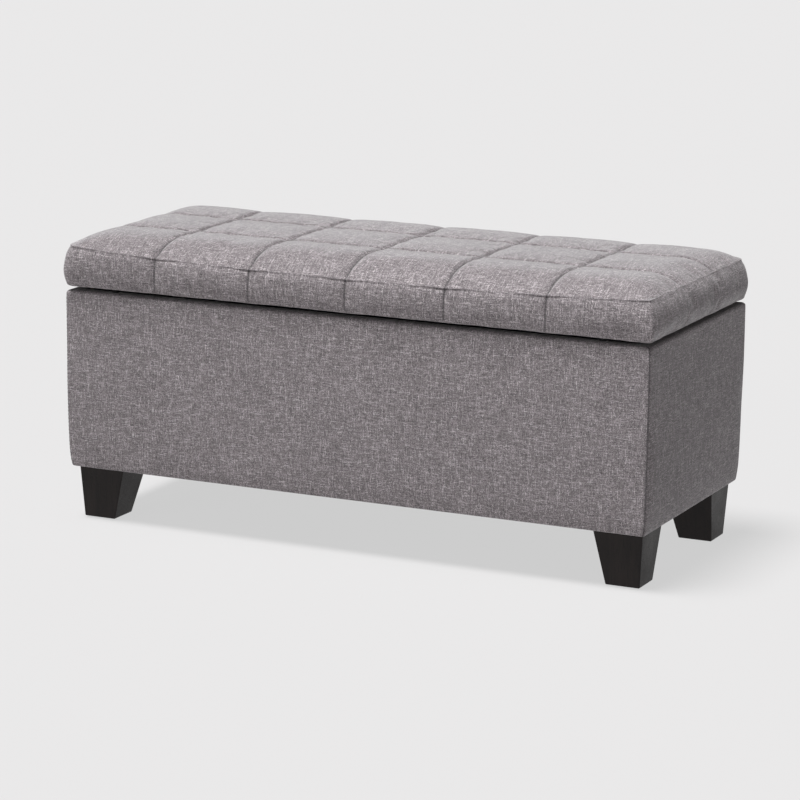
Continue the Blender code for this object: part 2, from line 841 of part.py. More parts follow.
def strut_rod(name, axis, closed_length):
    """The bright rod with its piston, measured down from the upper eye."""
    shoulder = -(NECK_LENGTH + GAP)
    thread_top = shoulder + THREAD_LENGTH
    foot = -(closed_length - NECK_LENGTH - 0.006)
    profile = (
        (0.0, thread_top),
        (STUD_RADIUS, thread_top),
        (STUD_RADIUS, shoulder),
        (ROD_RADIUS, shoulder),
        (ROD_RADIUS, foot + PISTON_LENGTH),
        (PISTON_RADIUS, foot + PISTON_LENGTH),
        (PISTON_RADIUS, foot),
        (0.0, foot),
    )
    bar = turned("strut_rod_" + name, profile, axis.matrix_world.translation, ROD_CHROME)
    bar.rotation_euler = axis.matrix_world.to_euler()
    place(bar, axis)


def strut(name, side, lid_axis):
    """A tube that turns on the box and a rod that turns on the lid, on one centre line."""
    foot = Vector((side * STRUT_X, *strut_foot()))
    head = Vector((side * STRUT_X, *strut_head()))
    along = head - foot
    lean = math.atan2(-along.y, along.z)
    foot_axis = new_axis("strut_foot_axis_" + name, foot, lean)
    head_axis = new_axis("strut_head_axis_" + name, head, lean, lid_axis)
    foot_bracket(name, side)
    head_bracket(name, side, lid_axis)
    socket("strut_lower_socket_" + name, foot_axis, 1)
    socket("strut_upper_socket_" + name, head_axis, -1)
    strut_tube(name, foot_axis)
    strut_rod(name, head_axis, along.length)


def bumper(name, side):
    """A rubber stop on the front rim that carries the closed lid."""
    bottom = BASE_TOP + GAP
    top = LID_UNDER - GAP
    edge = 0.0010
    profile = (
        (0.0, top),
        (BUMPER_RADIUS - 2 * edge, top),
        (BUMPER_RADIUS - edge, top - edge),
        (BUMPER_RADIUS, bottom + edge / 2),
        (BUMPER_RADIUS, bottom),
        (0.0, bottom),
    )
    y = half(BOARD_IN + BOARD / 2)[1]
    turned("lid_bumper_" + name, profile, (side * BUMPER_X, -y, 0.0), RUBBER, 20)


def build():
    box_walls()
    box_padding()
    base_cover()
    box_lining()
    box_floor()
    dust_cover()
    for name, sides in CORNERS.items():
        corner_plate(name, *sides)
        leg(name, *sides)
        glide(name, *sides)
        leg_bolt(name, *sides)
        tee_nut(name, *sides)
    lid_axis = new_axis("lid_axis", (0.0, AXIS_Y, AXIS_Z))
    lid_pieces(lid_axis)
    for name, side in SIDES.items():
        hinge(name, side * HINGE_X, lid_axis)
        strut(name, side, lid_axis)
        bumper(name, side)


build()
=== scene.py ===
import json
import math
import random

import bmesh
import bpy
from mathutils import Matrix, Vector, noise
from mathutils.bvhtree import BVHTree


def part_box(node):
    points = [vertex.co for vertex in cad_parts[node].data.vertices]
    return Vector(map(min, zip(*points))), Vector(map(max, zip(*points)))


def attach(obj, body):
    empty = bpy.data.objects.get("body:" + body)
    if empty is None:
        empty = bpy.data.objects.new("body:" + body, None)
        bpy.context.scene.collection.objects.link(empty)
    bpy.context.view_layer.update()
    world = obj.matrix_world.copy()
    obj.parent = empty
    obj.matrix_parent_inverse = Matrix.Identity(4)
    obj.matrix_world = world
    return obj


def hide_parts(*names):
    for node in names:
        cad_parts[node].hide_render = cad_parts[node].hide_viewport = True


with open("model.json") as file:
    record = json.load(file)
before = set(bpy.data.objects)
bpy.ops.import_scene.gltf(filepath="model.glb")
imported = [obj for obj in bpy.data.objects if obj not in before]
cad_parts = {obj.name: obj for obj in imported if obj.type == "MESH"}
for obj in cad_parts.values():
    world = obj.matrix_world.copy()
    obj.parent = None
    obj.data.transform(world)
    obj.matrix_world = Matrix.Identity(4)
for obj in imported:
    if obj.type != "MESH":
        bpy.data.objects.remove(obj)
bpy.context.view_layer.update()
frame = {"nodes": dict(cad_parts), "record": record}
random.seed(4)


# camera, floor and lights

view = {
    "place": (2.2212, -4.6491, 1.3491),
    "forward": (-0.4216, 0.8807, -0.2161),
    "roll": 0.41,         # degrees
    "lens": 147.93,       # on a 36 mm sensor
}

studio = {
    "floorSize": 60.0,
    "floorColour": (0.131, 0.127, 0.128),
    "floorGlow": 0.600,         # a lit table top, so that shadows stay light
    "skyColour": (1.0, 0.985, 0.99),
    "sky": 0.12,
    "key": {"strength": 4.95, "angle": 22.0, "from": (-0.16, -0.20, 1.0)},
    "fill": {"strength": 0.62, "angle": 36.0, "from": (-0.35, -1.0, 0.13)},
}


def makeCamera():
    camera = bpy.data.objects.new("camera", bpy.data.cameras.new("camera"))
    bpy.context.scene.collection.objects.link(camera)
    aim = Vector(view["forward"]).to_track_quat("-Z", "Y").to_matrix().to_4x4()
    roll = Matrix.Rotation(math.radians(view["roll"]), 4, "Z")
    camera.matrix_world = Matrix.Translation(view["place"]) @ aim @ roll
    camera.data.lens = view["lens"]
    camera.data.sensor_width = 36.0
    camera.data.clip_end = 200.0
    bpy.context.scene.camera = camera


def makeSun(name, values):
    sun = bpy.data.objects.new(name, bpy.data.lights.new(name, "SUN"))
    sun.data.energy = values["strength"]
    sun.data.angle = math.radians(values["angle"])
    sun.rotation_euler = Vector(values["from"]).to_track_quat("Z", "Y").to_euler()
    bpy.context.scene.collection.objects.link(sun)


def makeStudio():
    world = bpy.data.worlds.new("studioSky")
    world.use_nodes = True
    background = world.node_tree.nodes["Background"]
    background.inputs["Color"].default_value = (*studio["skyColour"], 1.0)
    background.inputs["Strength"].default_value = studio["sky"]
    bpy.context.scene.world = world
    bpy.context.scene.view_settings.view_transform = "Standard"
    makeSun("keySun", studio["key"])
    makeSun("fillSun", studio["fill"])
    bm = bmesh.new()
    bmesh.ops.create_grid(bm, x_segments=1, y_segments=1, size=studio["floorSize"] / 2)
    floor = newPiece("studioFloor", bm)
    floor.data.materials.append(floorMaterial())


# small helpers for meshes and nodes


def newPiece(name, bm, material=None, smooth=True):
    mesh = bpy.data.meshes.new(name)
    bm.to_mesh(mesh)
    bm.free()
    piece = bpy.data.objects.new(name, mesh)
    bpy.context.scene.collection.objects.link(piece)
    if material:
        mesh.materials.append(material)
    if smooth:
        mesh.shade_smooth()
    return piece


def applied(piece):
    # the mesh as its modifiers make it, put back on the piece
    graph = bpy.context.evaluated_depsgraph_get()
    mesh = bpy.data.meshes.new_from_object(piece.evaluated_get(graph), depsgraph=graph)
    old = piece.data
    piece.modifiers.clear()
    piece.data = mesh
    mesh.name = piece.name
    bpy.data.meshes.remove(old)


def openMesh(piece):
    bm = bmesh.new()
    bm.from_mesh(piece.data)
    return bm


def putBack(bm, piece):
    bm.to_mesh(piece.data)
    bm.free()


def subdivided(piece):
    finer = piece.modifiers.new("finer", "SUBSURF")
    finer.levels = 1
    finer.render_levels = 1


def thickened(piece, wall, offset):
    # offset 1 builds the wall out along the normals, -1 behind them
    made = piece.modifiers.new("wall", "SOLIDIFY")
    made.thickness = wall
    made.offset = offset


def halfAndCentre(low, high):
    # half the size and the middle, across and deep
    half = ((high.x - low.x) / 2, (high.y - low.y) / 2)
    centre = ((high.x + low.x) / 2, (high.y + low.y) / 2)
    return half, centre


def extrudedRim(bm, edges):
    # a new rim grown from an open one, and its vertices
    made = bmesh.ops.extrude_edge_only(bm, edges=edges)["geom"]
    rim = [item for item in made if isinstance(item, bmesh.types.BMEdge) and item.is_boundary]
    return rim, {v for e in rim for v in e.verts}


def smoothStep(value, low, high):
    t = min(max((value - low) / (high - low), 0.0), 1.0)
    return t * t * (3 - 2 * t)


def bell(distance, width):
    return math.exp(-((distance / width) ** 2))


def fillInputs(tree, node, inputs):
    # sockets are linked; plain numbers and colours are set on the node itself
    for key, value in inputs.items():
        if isinstance(value, bpy.types.NodeSocket):
            tree.links.new(value, node.inputs[key])
        else:
            node.inputs[key].default_value = value


def addNode(tree, kind, inputs=None, **settings):
    made = tree.nodes.new("ShaderNode" + kind)
    for name, value in settings.items():
        setattr(made, name, value)
    fillInputs(tree, made, inputs or {})
    return made


def onPiece(tree):
    # the piece's own coordinates
    return addNode(tree, "TexCoord").outputs["Object"]


def calc(tree, operation, first, second=0.0, third=0.0):
    values = {0: first, 1: second, 2: third}
    return addNode(tree, "Math", values, operation=operation).outputs[0]


def noiseAt(tree, vector, scale, detail=2.0, roughness=0.5):
    values = {"Vector": vector, "Scale": scale, "Detail": detail, "Roughness": roughness}
    return addNode(tree, "TexNoise", values).outputs["Fac"]


def ramp(tree, value, low, high, toLow=0.0, toHigh=1.0):
    values = {"Value": value, "From Min": low, "From Max": high, "To Min": toLow, "To Max": toHigh}
    return addNode(tree, "MapRange", values, clamp=True).outputs["Result"]


def mixColours(tree, factor, first, second):
    mixer = addNode(tree, "Mix", data_type="RGBA")
    for key, value in (("Factor", factor), ("A", first), ("B", second)):
        socket = [s for s in mixer.inputs if s.name == key and s.enabled][0]
        if isinstance(value, bpy.types.NodeSocket):
            tree.links.new(value, socket)
        else:
            socket.default_value = value
    return [s for s in mixer.outputs if s.enabled][0]


def stretched(tree, vector, scale, turn=(0.0, 0.0, 0.0)):
    values = {"Vector": vector, "Scale": scale, "Rotation": turn}
    return addNode(tree, "Mapping", values).outputs["Vector"]


def newGroup(name, inputs, outputs):
    group = bpy.data.node_groups.new(name, "ShaderNodeTree")
    for label, kind, value in inputs:
        socket = group.interface.new_socket(label, in_out="INPUT", socket_type="NodeSocket" + kind)
        if value is not None:
            socket.default_value = value
    for label, kind in outputs:
        group.interface.new_socket(label, in_out="OUTPUT", socket_type="NodeSocket" + kind)
    source = group.nodes.new("NodeGroupInput")
    result = group.nodes.new("NodeGroupOutput")
    return group, source.outputs, result.inputs


def useGroup(tree, group, inputs):
    placed = addNode(tree, "Group")
    placed.node_tree = group
    fillInputs(tree, placed, inputs)
    return placed.outputs


def newMaterial(name):
    material = bpy.data.materials.new(name)
    material.use_nodes = True
    tree = material.node_tree
    return material, tree, tree.nodes["Principled BSDF"]


# shared effects


def makeWeaveGroup():
    # plain weave from a flat map in metres, with slubby threads
    group, given, out = newGroup(
        "linenWeave",
        [("Vector", "Vector", None), ("Pitch", "Float", 0.001), ("Slub Length", "Float", 0.03)],
        [("Tone", "Float"), ("Height", "Float"), ("Slub", "Float"), ("Fleck", "Float")],
    )
    parts = addNode(group, "SeparateXYZ", {0: given["Vector"]}).outputs
    wobble = noiseAt(group, given["Vector"], 55.0, 1.0)
    sway = calc(group, "MULTIPLY", calc(group, "SUBTRACT", wobble, 0.5), 1.3)
    across = calc(group, "ADD", calc(group, "DIVIDE", parts["X"], given["Pitch"]), sway)
    up = calc(group, "SUBTRACT", calc(group, "DIVIDE", parts["Y"], given["Pitch"]), sway)
    reach = calc(group, "DIVIDE", given["Pitch"], given["Slub Length"])
    threads = {}
    for name, lay, along, side in (("warp", across, up, 1.0), ("weft", up, across, -1.0)):
        index = calc(group, "FLOOR", lay)
        inside = calc(group, "FRACT", lay)
        body = calc(group, "SINE", calc(group, "MULTIPLY", inside, math.pi))
        turn = calc(group, "ADD", calc(group, "SUBTRACT", along, 0.5), index)
        over = calc(group, "COSINE", calc(group, "MULTIPLY", turn, math.pi))
        lift = calc(group, "MULTIPLY_ADD", over, 0.42 * side, 0.55)
        height = calc(group, "MULTIPLY", body, lift)
        spot = addNode(
            group,
            "CombineXYZ",
            {
                "X": calc(group, "MULTIPLY", index, 7.317),
                "Y": calc(group, "MULTIPLY", along, reach),
                "Z": 11.3 * side,
            },
        ).outputs[0]
        long = noiseAt(group, spot, 1.0, 1.5, 0.6)
        threads[name] = (height, long)
    warpUp = ramp(
        group, calc(group, "SUBTRACT", threads["warp"][0], threads["weft"][0]), -0.12, 0.12
    )
    tone = addNode(
        group, "Mix", {0: warpUp, 2: threads["weft"][1], 3: threads["warp"][1]}, data_type="FLOAT"
    ).outputs[0]
    height = calc(group, "MAXIMUM", threads["warp"][0], threads["weft"][0])
    cell = {"X": calc(group, "FLOOR", across), "Y": calc(group, "FLOOR", up)}
    spots = addNode(group, "CombineXYZ", cell).outputs[0]
    fleck = addNode(group, "TexWhiteNoise", {"Vector": spots}, noise_dimensions="2D").outputs["Value"]
    group.links.new(fleck, out["Fleck"])
    thick = ramp(group, tone, 0.56, 0.72)
    group.links.new(tone, out["Tone"])
    group.links.new(calc(group, "MULTIPLY_ADD", thick, 0.35, height), out["Height"])
    group.links.new(thick, out["Slub"])
    return group


def makeCloudGroup():
    # slow uneven tone, as from dye and handling
    group, given, out = newGroup(
        "unevenTone",
        [("Vector", "Vector", None), ("Scale", "Float", 6.0)],
        [("Tone", "Float")],
    )
    broad = addNode(group, "TexNoise", {"Vector": given["Vector"], "Scale": given["Scale"], "Detail": 3.0})
    fine = addNode(group, "TexNoise", {"Vector": given["Vector"], "Detail": 2.0})
    group.links.new(calc(group, "MULTIPLY", given["Scale"], 9.0), fine.inputs["Scale"])
    slow = calc(group, "MULTIPLY", broad.outputs["Fac"], 0.65)
    both = calc(group, "MULTIPLY_ADD", fine.outputs["Fac"], 0.35, slow)
    group.links.new(both, out["Tone"])
    return group


def makeGrainGroup():
    # long wood grain along Z of the vector it is given
    group, given, out = newGroup(
        "woodGrain",
        [("Vector", "Vector", None), ("Scale", "Float", 1.0)],
        [("Grain", "Float"), ("Pores", "Float"), ("Height", "Float")],
    )
    scaled = addNode(
        group, "VectorMath", {0: given["Vector"], "Scale": given["Scale"]}, operation="SCALE"
    ).outputs[0]
    bent = noiseAt(group, stretched(group, scaled, (9.0, 9.0, 2.0)), 1.0, 2.0)
    sideways = calc(group, "MULTIPLY", bent, 0.05)
    shift = addNode(group, "CombineXYZ", {"X": sideways, "Y": 0.0, "Z": 0.0}).outputs[0]
    moved = addNode(group, "VectorMath", {0: scaled, 1: shift}, operation="ADD").outputs[0]
    bands = noiseAt(group, stretched(group, moved, (90.0, 90.0, 3.0)), 1.0, 3.0, 0.6)
    pores = noiseAt(group, stretched(group, moved, (900.0, 900.0, 22.0)), 1.0, 1.0)
    marks = ramp(group, pores, 0.60, 0.68)
    group.links.new(ramp(group, bands, 0.30, 0.70), out["Grain"])
    group.links.new(marks, out["Pores"])
    height = calc(group, "SUBTRACT", calc(group, "MULTIPLY", bands, 0.3), marks)
    group.links.new(height, out["Height"])
    return group


def makeFleeceGroup():
    # bonded cloth: tangled fibres with a grid of small pressed dots
    group, given, out = newGroup(
        "bondedCloth",
        [("Vector", "Vector", None), ("Dot Spacing", "Float", 0.0022)],
        [("Tone", "Float"), ("Height", "Float"), ("Dots", "Float")],
    )
    parts = addNode(group, "SeparateXYZ", {0: given["Vector"]}).outputs
    rise = {}
    for name in ("X", "Y"):
        phase = calc(group, "DIVIDE", calc(group, "MULTIPLY", parts[name], math.pi), given["Dot Spacing"])
        rise[name] = calc(group, "COSINE", phase)
    crossing = calc(group, "ABSOLUTE", calc(group, "MULTIPLY", rise["X"], rise["Y"]))
    dots = ramp(group, crossing, 0.70, 0.86)
    lengthways = stretched(group, given["Vector"], (900.0, 160.0, 300.0), (0.0, 0.0, 0.6))
    sideways = stretched(group, given["Vector"], (160.0, 900.0, 300.0), (0.0, 0.0, 0.9))
    fibres = noiseAt(group, lengthways, 1.0, 3.0)
    crossed = noiseAt(group, sideways, 1.0, 3.0)
    tangle = calc(group, "MULTIPLY", calc(group, "ADD", fibres, crossed), 0.5)
    group.links.new(tangle, out["Tone"])
    group.links.new(calc(group, "MULTIPLY_ADD", dots, -0.8, tangle), out["Height"])
    group.links.new(dots, out["Dots"])
    return group


def makeScuffGroup():
    # fine scratches and smudges for metal and plastic
    group, given, out = newGroup(
        "scuffs",
        [("Vector", "Vector", None), ("Scale", "Float", 1.0)],
        [("Scratches", "Float"), ("Smudge", "Float")],
    )
    scaled = addNode(
        group, "VectorMath", {0: given["Vector"], "Scale": given["Scale"]}, operation="SCALE"
    ).outputs[0]
    lines = noiseAt(group, stretched(group, scaled, (1500.0, 40.0, 900.0), (0.2, 0.1, 0.35)), 1.0, 2.0)
    crossed = noiseAt(group, stretched(group, scaled, (60.0, 1400.0, 800.0), (0.0, 0.3, -0.5)), 1.0, 2.0)
    marks = calc(group, "MAXIMUM", ramp(group, lines, 0.60, 0.72), ramp(group, crossed, 0.63, 0.74))
    group.links.new(marks, out["Scratches"])
    group.links.new(noiseAt(group, scaled, 45.0, 3.0), out["Smudge"])
    return group


weaveGroup = makeWeaveGroup()
cloudGroup = makeCloudGroup()
grainGroup = makeGrainGroup()
fleeceGroup = makeFleeceGroup()
scuffGroup = makeScuffGroup()
print("shared effects made")


# materials

coverCloth = {
    "dark": (0.120, 0.105, 0.110, 1.0),
    "light": (0.370, 0.336, 0.348, 1.0),
    "slub": (0.64, 0.59, 0.605, 1.0),
    "fleck": (0.50, 1.50),                   # how far single crossings stray in brightness
    "pitch": 0.00112,
    "slubLength": 0.015,
    "roughness": 0.90,
    "sheen": 0.12,
    "sheenRoughness": 0.40,
    "specular": 0.25,
    "deep": (0.05, 0.045, 0.048, 1.0),       # painted shade between the threads
    "fuzz": (0.59, 0.82, 0.135),             # painted sheen: the colour is lightened where the cloth is seen edge on, as loose fibres catch light
    "paintedSheenColour": (0.88, 0.92, 0.92, 1.0),
    "seam": (0.040, 0.036, 0.038, 1.0),      # shade and dirt in a seam
    "seamShare": 0.82,
    "bump": 0.00034,
}


def floorMaterial():
    material, tree, shader = newMaterial("studioPaper")
    finish = {
        "Base Color": (*studio["floorColour"], 1.0),
        "Roughness": 1.0,
        "Specular IOR Level": 0.0,
        "Emission Color": (1.0, 1.0, 1.0, 1.0),
        "Emission Strength": studio["floorGlow"],
    }
    fillInputs(tree, shader, finish)
    return material


def bumpInto(tree, shader, height, distance):
    bump = addNode(tree, "Bump", {"Strength": 1.0, "Distance": distance, "Height": height})
    tree.links.new(bump.outputs["Normal"], shader.inputs["Normal"])


def coverMaterial():
    material, tree, shader = newMaterial("greyLinen")
    cloth = coverCloth
    flat = addNode(tree, "UVMap", uv_map="cut").outputs["UV"]
    weave = useGroup(
        tree, weaveGroup, {"Vector": flat, "Pitch": cloth["pitch"], "Slub Length": cloth["slubLength"]}
    )
    where = onPiece(tree)
    cloud = useGroup(tree, cloudGroup, {"Vector": where, "Scale": 7.0})["Tone"]
    base = mixColours(tree, ramp(tree, weave["Tone"], 0.24, 0.76), cloth["dark"], cloth["light"])
    slubbed = mixColours(tree, calc(tree, "MULTIPLY", weave["Slub"], 0.6), base, cloth["slub"])
    # painted shade: the weave's low places are mixed towards a near-black colour
    sunk = ramp(tree, weave["Height"], 0.25, 0.75, 0.30, 0.0)
    deep = mixColours(tree, sunk, slubbed, cloth["deep"])
    fleck = ramp(tree, weave["Fleck"], 0.0, 1.0, *cloth["fleck"])
    tone = calc(tree, "MULTIPLY", ramp(tree, cloud, 0.30, 0.70, 0.95, 1.05), fleck)
    mottled = addNode(tree, "HueSaturation", {"Value": tone, "Color": deep}).outputs["Color"]
    # painted sheen: the base colour goes towards a pale colour where the cloth is seen edge on
    edgeOn = addNode(tree, "LayerWeight", {"Blend": 0.5}).outputs["Facing"]
    paintedSheenShare = ramp(tree, edgeOn, cloth["fuzz"][0], cloth["fuzz"][1], 0.0, cloth["fuzz"][2])
    withPaintedSheen = mixColours(tree, paintedSheenShare, mottled, cloth["paintedSheenColour"])
    # painted shade and dirt in the seams, from the groove attribute
    groove = addNode(tree, "Attribute", attribute_name="groove").outputs["Fac"]
    shade = calc(tree, "MULTIPLY", groove, cloth["seamShare"])
    paintedSheenAndShade = mixColours(tree, shade, withPaintedSheen, cloth["seam"])
    rough = ramp(tree, weave["Tone"], 0.3, 0.7, cloth["roughness"] + 0.04, cloth["roughness"] - 0.08)
    finish = {
        "Base Color": paintedSheenAndShade,
        "Roughness": rough,
        "Sheen Weight": cloth["sheen"],
        "Sheen Roughness": cloth["sheenRoughness"],
        "Specular IOR Level": cloth["specular"],
    }
    fillInputs(tree, shader, finish)
    fuzz = noiseAt(tree, flat, 2600.0, 1.0)
    bumpInto(tree, shader, calc(tree, "MULTIPLY_ADD", fuzz, 0.25, weave["Height"]), cloth["bump"])
    return material


def threadMaterial():
    material, tree, shader = newMaterial("greyThread")
    where = onPiece(tree)
    twist = noiseAt(tree, where, 1800.0, 2.0)
    colour = mixColours(tree, twist, (0.045, 0.040, 0.042, 1.0), (0.13, 0.118, 0.122, 1.0))
    fillInputs(tree, shader, {"Base Color": colour, "Roughness": 0.6, "Sheen Weight": 0.3})
    bumpInto(tree, shader, twist, 0.0002)
    return material


def fleeceMaterial(name, dark, light, spacing):
    material, tree, shader = newMaterial(name)
    flat = addNode(tree, "UVMap", uv_map="cut").outputs["UV"]
    fleece = useGroup(tree, fleeceGroup, {"Vector": flat, "Dot Spacing": spacing})
    cloud = useGroup(tree, cloudGroup, {"Vector": flat, "Scale": 14.0})["Tone"]
    fibre = mixColours(tree, ramp(tree, fleece["Tone"], 0.35, 0.65), dark, light)
    dust = ramp(tree, cloud, 0.50, 0.85, 0.0, 0.35)
    dusty = mixColours(tree, dust, fibre, (0.16, 0.155, 0.15, 1.0))
    rough = ramp(tree, fleece["Dots"], 0.0, 1.0, 0.95, 0.55)
    finish = {"Base Color": dusty, "Roughness": rough, "Sheen Weight": 0.25, "Specular IOR Level": 0.3}
    fillInputs(tree, shader, finish)
    bumpInto(tree, shader, fleece["Height"], 0.00025)
    return material


legStain = {
    "dark": (0.0055, 0.0036, 0.0034, 1.0),
    "light": (0.0135, 0.0090, 0.0080, 1.0),
    "pores": (0.002, 0.0015, 0.0015, 1.0),
    "specular": 0.22,
    "bump": 0.00012,
}


def legMaterial():
    material, tree, shader = newMaterial("espressoWood")
    where = onPiece(tree)
    grain = useGroup(tree, grainGroup, {"Vector": where, "Scale": 1.0})
    cloud = useGroup(tree, cloudGroup, {"Vector": where, "Scale": 25.0})["Tone"]
    stained = mixColours(tree, grain["Grain"], legStain["dark"], legStain["light"])
    pored = mixColours(tree, calc(tree, "MULTIPLY", grain["Pores"], 0.6), stained, legStain["pores"])
    rough = ramp(tree, cloud, 0.3, 0.7, 0.34, 0.50)
    finish = {"Base Color": pored, "Roughness": rough, "Specular IOR Level": legStain["specular"]}
    fillInputs(tree, shader, finish)
    bumpInto(tree, shader, grain["Height"], legStain["bump"])
    return material


def boardMaterial(name, pale, dark, turn):
    material, tree, shader = newMaterial(name)
    where = onPiece(tree)
    along = stretched(tree, where, (1.0, 1.0, 1.0), turn)
    grain = useGroup(tree, grainGroup, {"Vector": along, "Scale": 0.6})
    colour = mixColours(tree, grain["Grain"], dark, pale)
    pored = mixColours(tree, grain["Pores"], colour, dark)
    rough = ramp(tree, grain["Grain"], 0.0, 1.0, 0.72, 0.58)
    fillInputs(tree, shader, {"Base Color": pored, "Roughness": rough})
    bumpInto(tree, shader, grain["Height"], 0.0002)
    return material


def foamMaterial():
    material, tree, shader = newMaterial("paddingFoam")
    where = onPiece(tree)
    cells = addNode(tree, "TexVoronoi", {"Vector": where, "Scale": 900.0}).outputs["Distance"]
    share = ramp(tree, cells, 0.1, 0.7)
    colour = mixColours(tree, share, (0.50, 0.42, 0.25, 1.0), (0.80, 0.74, 0.56, 1.0))
    rough = ramp(tree, cells, 0.0, 0.8, 0.98, 0.85)
    fillInputs(tree, shader, {"Base Color": colour, "Roughness": rough})
    bumpInto(tree, shader, cells, 0.0004)
    return material


def metalMaterial(name, dull, bright, roughness, metallic=1.0, scale=1.0, coat=0.0):
    material, tree, shader = newMaterial(name)
    where = onPiece(tree)
    scuff = useGroup(tree, scuffGroup, {"Vector": where, "Scale": scale})
    colour = mixColours(tree, ramp(tree, scuff["Smudge"], 0.3, 0.7), dull, bright)
    smudged = ramp(tree, scuff["Smudge"], 0.3, 0.75, roughness - 0.06, roughness + 0.10)
    rough = calc(tree, "MULTIPLY_ADD", scuff["Scratches"], 0.12, smudged)
    finish = {"Base Color": colour, "Roughness": rough, "Metallic": metallic, "Coat Weight": coat}
    fillInputs(tree, shader, finish)
    bumpInto(tree, shader, calc(tree, "MULTIPLY", scuff["Scratches"], -1.0), 0.00004)
    return material


def mouldedMaterial(name, low, high, roughness):
    material, tree, shader = newMaterial(name)
    where = onPiece(tree)
    pebble = noiseAt(tree, where, 1400.0, 2.0)
    scuff = useGroup(tree, scuffGroup, {"Vector": where, "Scale": 0.8})
    colour = mixColours(tree, ramp(tree, scuff["Smudge"], 0.35, 0.75), low, high)
    rough = ramp(tree, pebble, 0.3, 0.7, roughness - 0.05, roughness + 0.08)
    fillInputs(tree, shader, {"Base Color": colour, "Roughness": rough})
    bumpInto(tree, shader, pebble, 0.00006)
    return material


greyLinen = coverMaterial()
greyThread = threadMaterial()
liningFleece = fleeceMaterial(
    "liningFleece", (0.012, 0.012, 0.013, 1.0), (0.050, 0.050, 0.053, 1.0), 0.0024
)
dustFleece = fleeceMaterial(
    "dustFleece", (0.008, 0.008, 0.009, 1.0), (0.034, 0.034, 0.036, 1.0), 0.0018
)
espressoWood = legMaterial()
plywood = boardMaterial(
    "plywood", (0.60, 0.45, 0.28, 1.0), (0.38, 0.25, 0.13, 1.0), (0.0, math.pi / 2, 0.0)
)
pineTimber = boardMaterial(
    "pineTimber", (0.66, 0.50, 0.30, 1.0), (0.45, 0.29, 0.14, 1.0), (0.0, math.pi / 2, 0.0)
)
paddingFoam = foamMaterial()
zincSteel = metalMaterial("zincSteel", (0.42, 0.42, 0.40, 1.0), (0.66, 0.66, 0.63, 1.0), 0.34)
hingeSteel = metalMaterial("hingeSteel", (0.38, 0.38, 0.37, 1.0), (0.60, 0.60, 0.58, 1.0), 0.36)
chromeRod = metalMaterial("chromeRod", (0.70, 0.70, 0.71, 1.0), (0.86, 0.86, 0.87, 1.0), 0.12)
blackEnamel = metalMaterial(
    "blackEnamel", (0.010, 0.010, 0.011, 1.0), (0.022, 0.022, 0.023, 1.0), 0.36, 0.0, 0.6, 0.2
)
blackPlastic = mouldedMaterial(
    "blackPlastic", (0.010, 0.010, 0.011, 1.0), (0.030, 0.030, 0.031, 1.0), 0.46
)
blackRubber = mouldedMaterial(
    "blackRubber", (0.013, 0.013, 0.013, 1.0), (0.038, 0.037, 0.036, 1.0), 0.78
)
print("materials made")


def dressCad():
    # carried-over CAD nodes take their finish by what they are
    bySlot = {
        "cover_fabric": greyLinen,
        "lining_cloth": liningFleece,
        "dust_cloth": dustFleece,
        "foam": paddingFoam,
        "plywood": plywood,
        "timber": pineTimber,
        "leg_stain": espressoWood,
        "zinc_steel": zincSteel,
        "hinge_steel": hingeSteel,
        "strut_paint": blackEnamel,
        "rod_chrome": chromeRod,
        "black_plastic": blackPlastic,
        "rubber": blackRubber,
    }
    slots = {row["node"]: row["material_slot"] for row in frame["record"]["subparts"]}
    for name, node in frame["nodes"].items():
        material = bySlot[slots[name]]
        if not node.material_slots:
            node.data.materials.append(material)
        for place in node.material_slots:
            place.material = material


# outlines, flat maps and cloth


def cutMap(mesh):
    # a flat map in metres, by the way each face looks
    places = [tuple(v.co) for v in mesh.vertices]
    flat = []
    for face in mesh.polygons:
        across, deep, up = (abs(value) for value in face.normal)
        for index in face.vertices:
            x, y, z = places[index]
            if up > max(across, deep):
                flat += (x, y)
            elif deep > across:
                flat += (x, z + 0.5)
            else:
                flat += (y + 2.0, z + 0.5)
    mesh.uv_layers.new(name="cut").data.foreach_set("uv", flat)


def setGroove(mesh, depthOf):
    # how deep each point lies in a seam, 0 to 1, for the shade and dirt there
    layer = mesh.attributes.new("groove", "FLOAT", "POINT")
    layer.data.foreach_set("value", [depthOf(v.co) for v in mesh.vertices])


def uneven(place, size, seed=0.0):
    return noise.noise(Vector(place) / size + Vector((seed, 0.0, 0.0)))


def drawRim(bm, edges, steps, half, centre, shape=None, straight=False):
    # pulls an open rim through (depth, height) steps; depth is how far it lies inside the outline
    # straight keeps points from sliding along the sides, for small depths
    plan = bm.verts.layers.float_vector["plan"]
    for step in steps:
        edges, ring = extrudedRim(bm, edges)
        for v in ring:
            start = v[plan]
            depth, height = shape(start, step) if shape else step
            drawn = [centre[0], centre[1], height]
            for i in (0, 1):
                away = start[i] - centre[i]
                near = smoothStep(abs(away), half[i] - 0.03, half[i]) if straight else 1.0
                drawn[i] += away * (1 - depth * near / half[i])
            v.co = drawn
    return edges


def arcSteps(depth, height, radius, start, end, count):
    # (depth, height) steps along an arc; angles in degrees, 0 facing out and 90 up
    steps = []
    for index in range(count + 1):
        angle = math.radians(start + (end - start) * index / count)
        steps.append((depth - radius * math.cos(angle), height + radius * math.sin(angle)))
    return steps


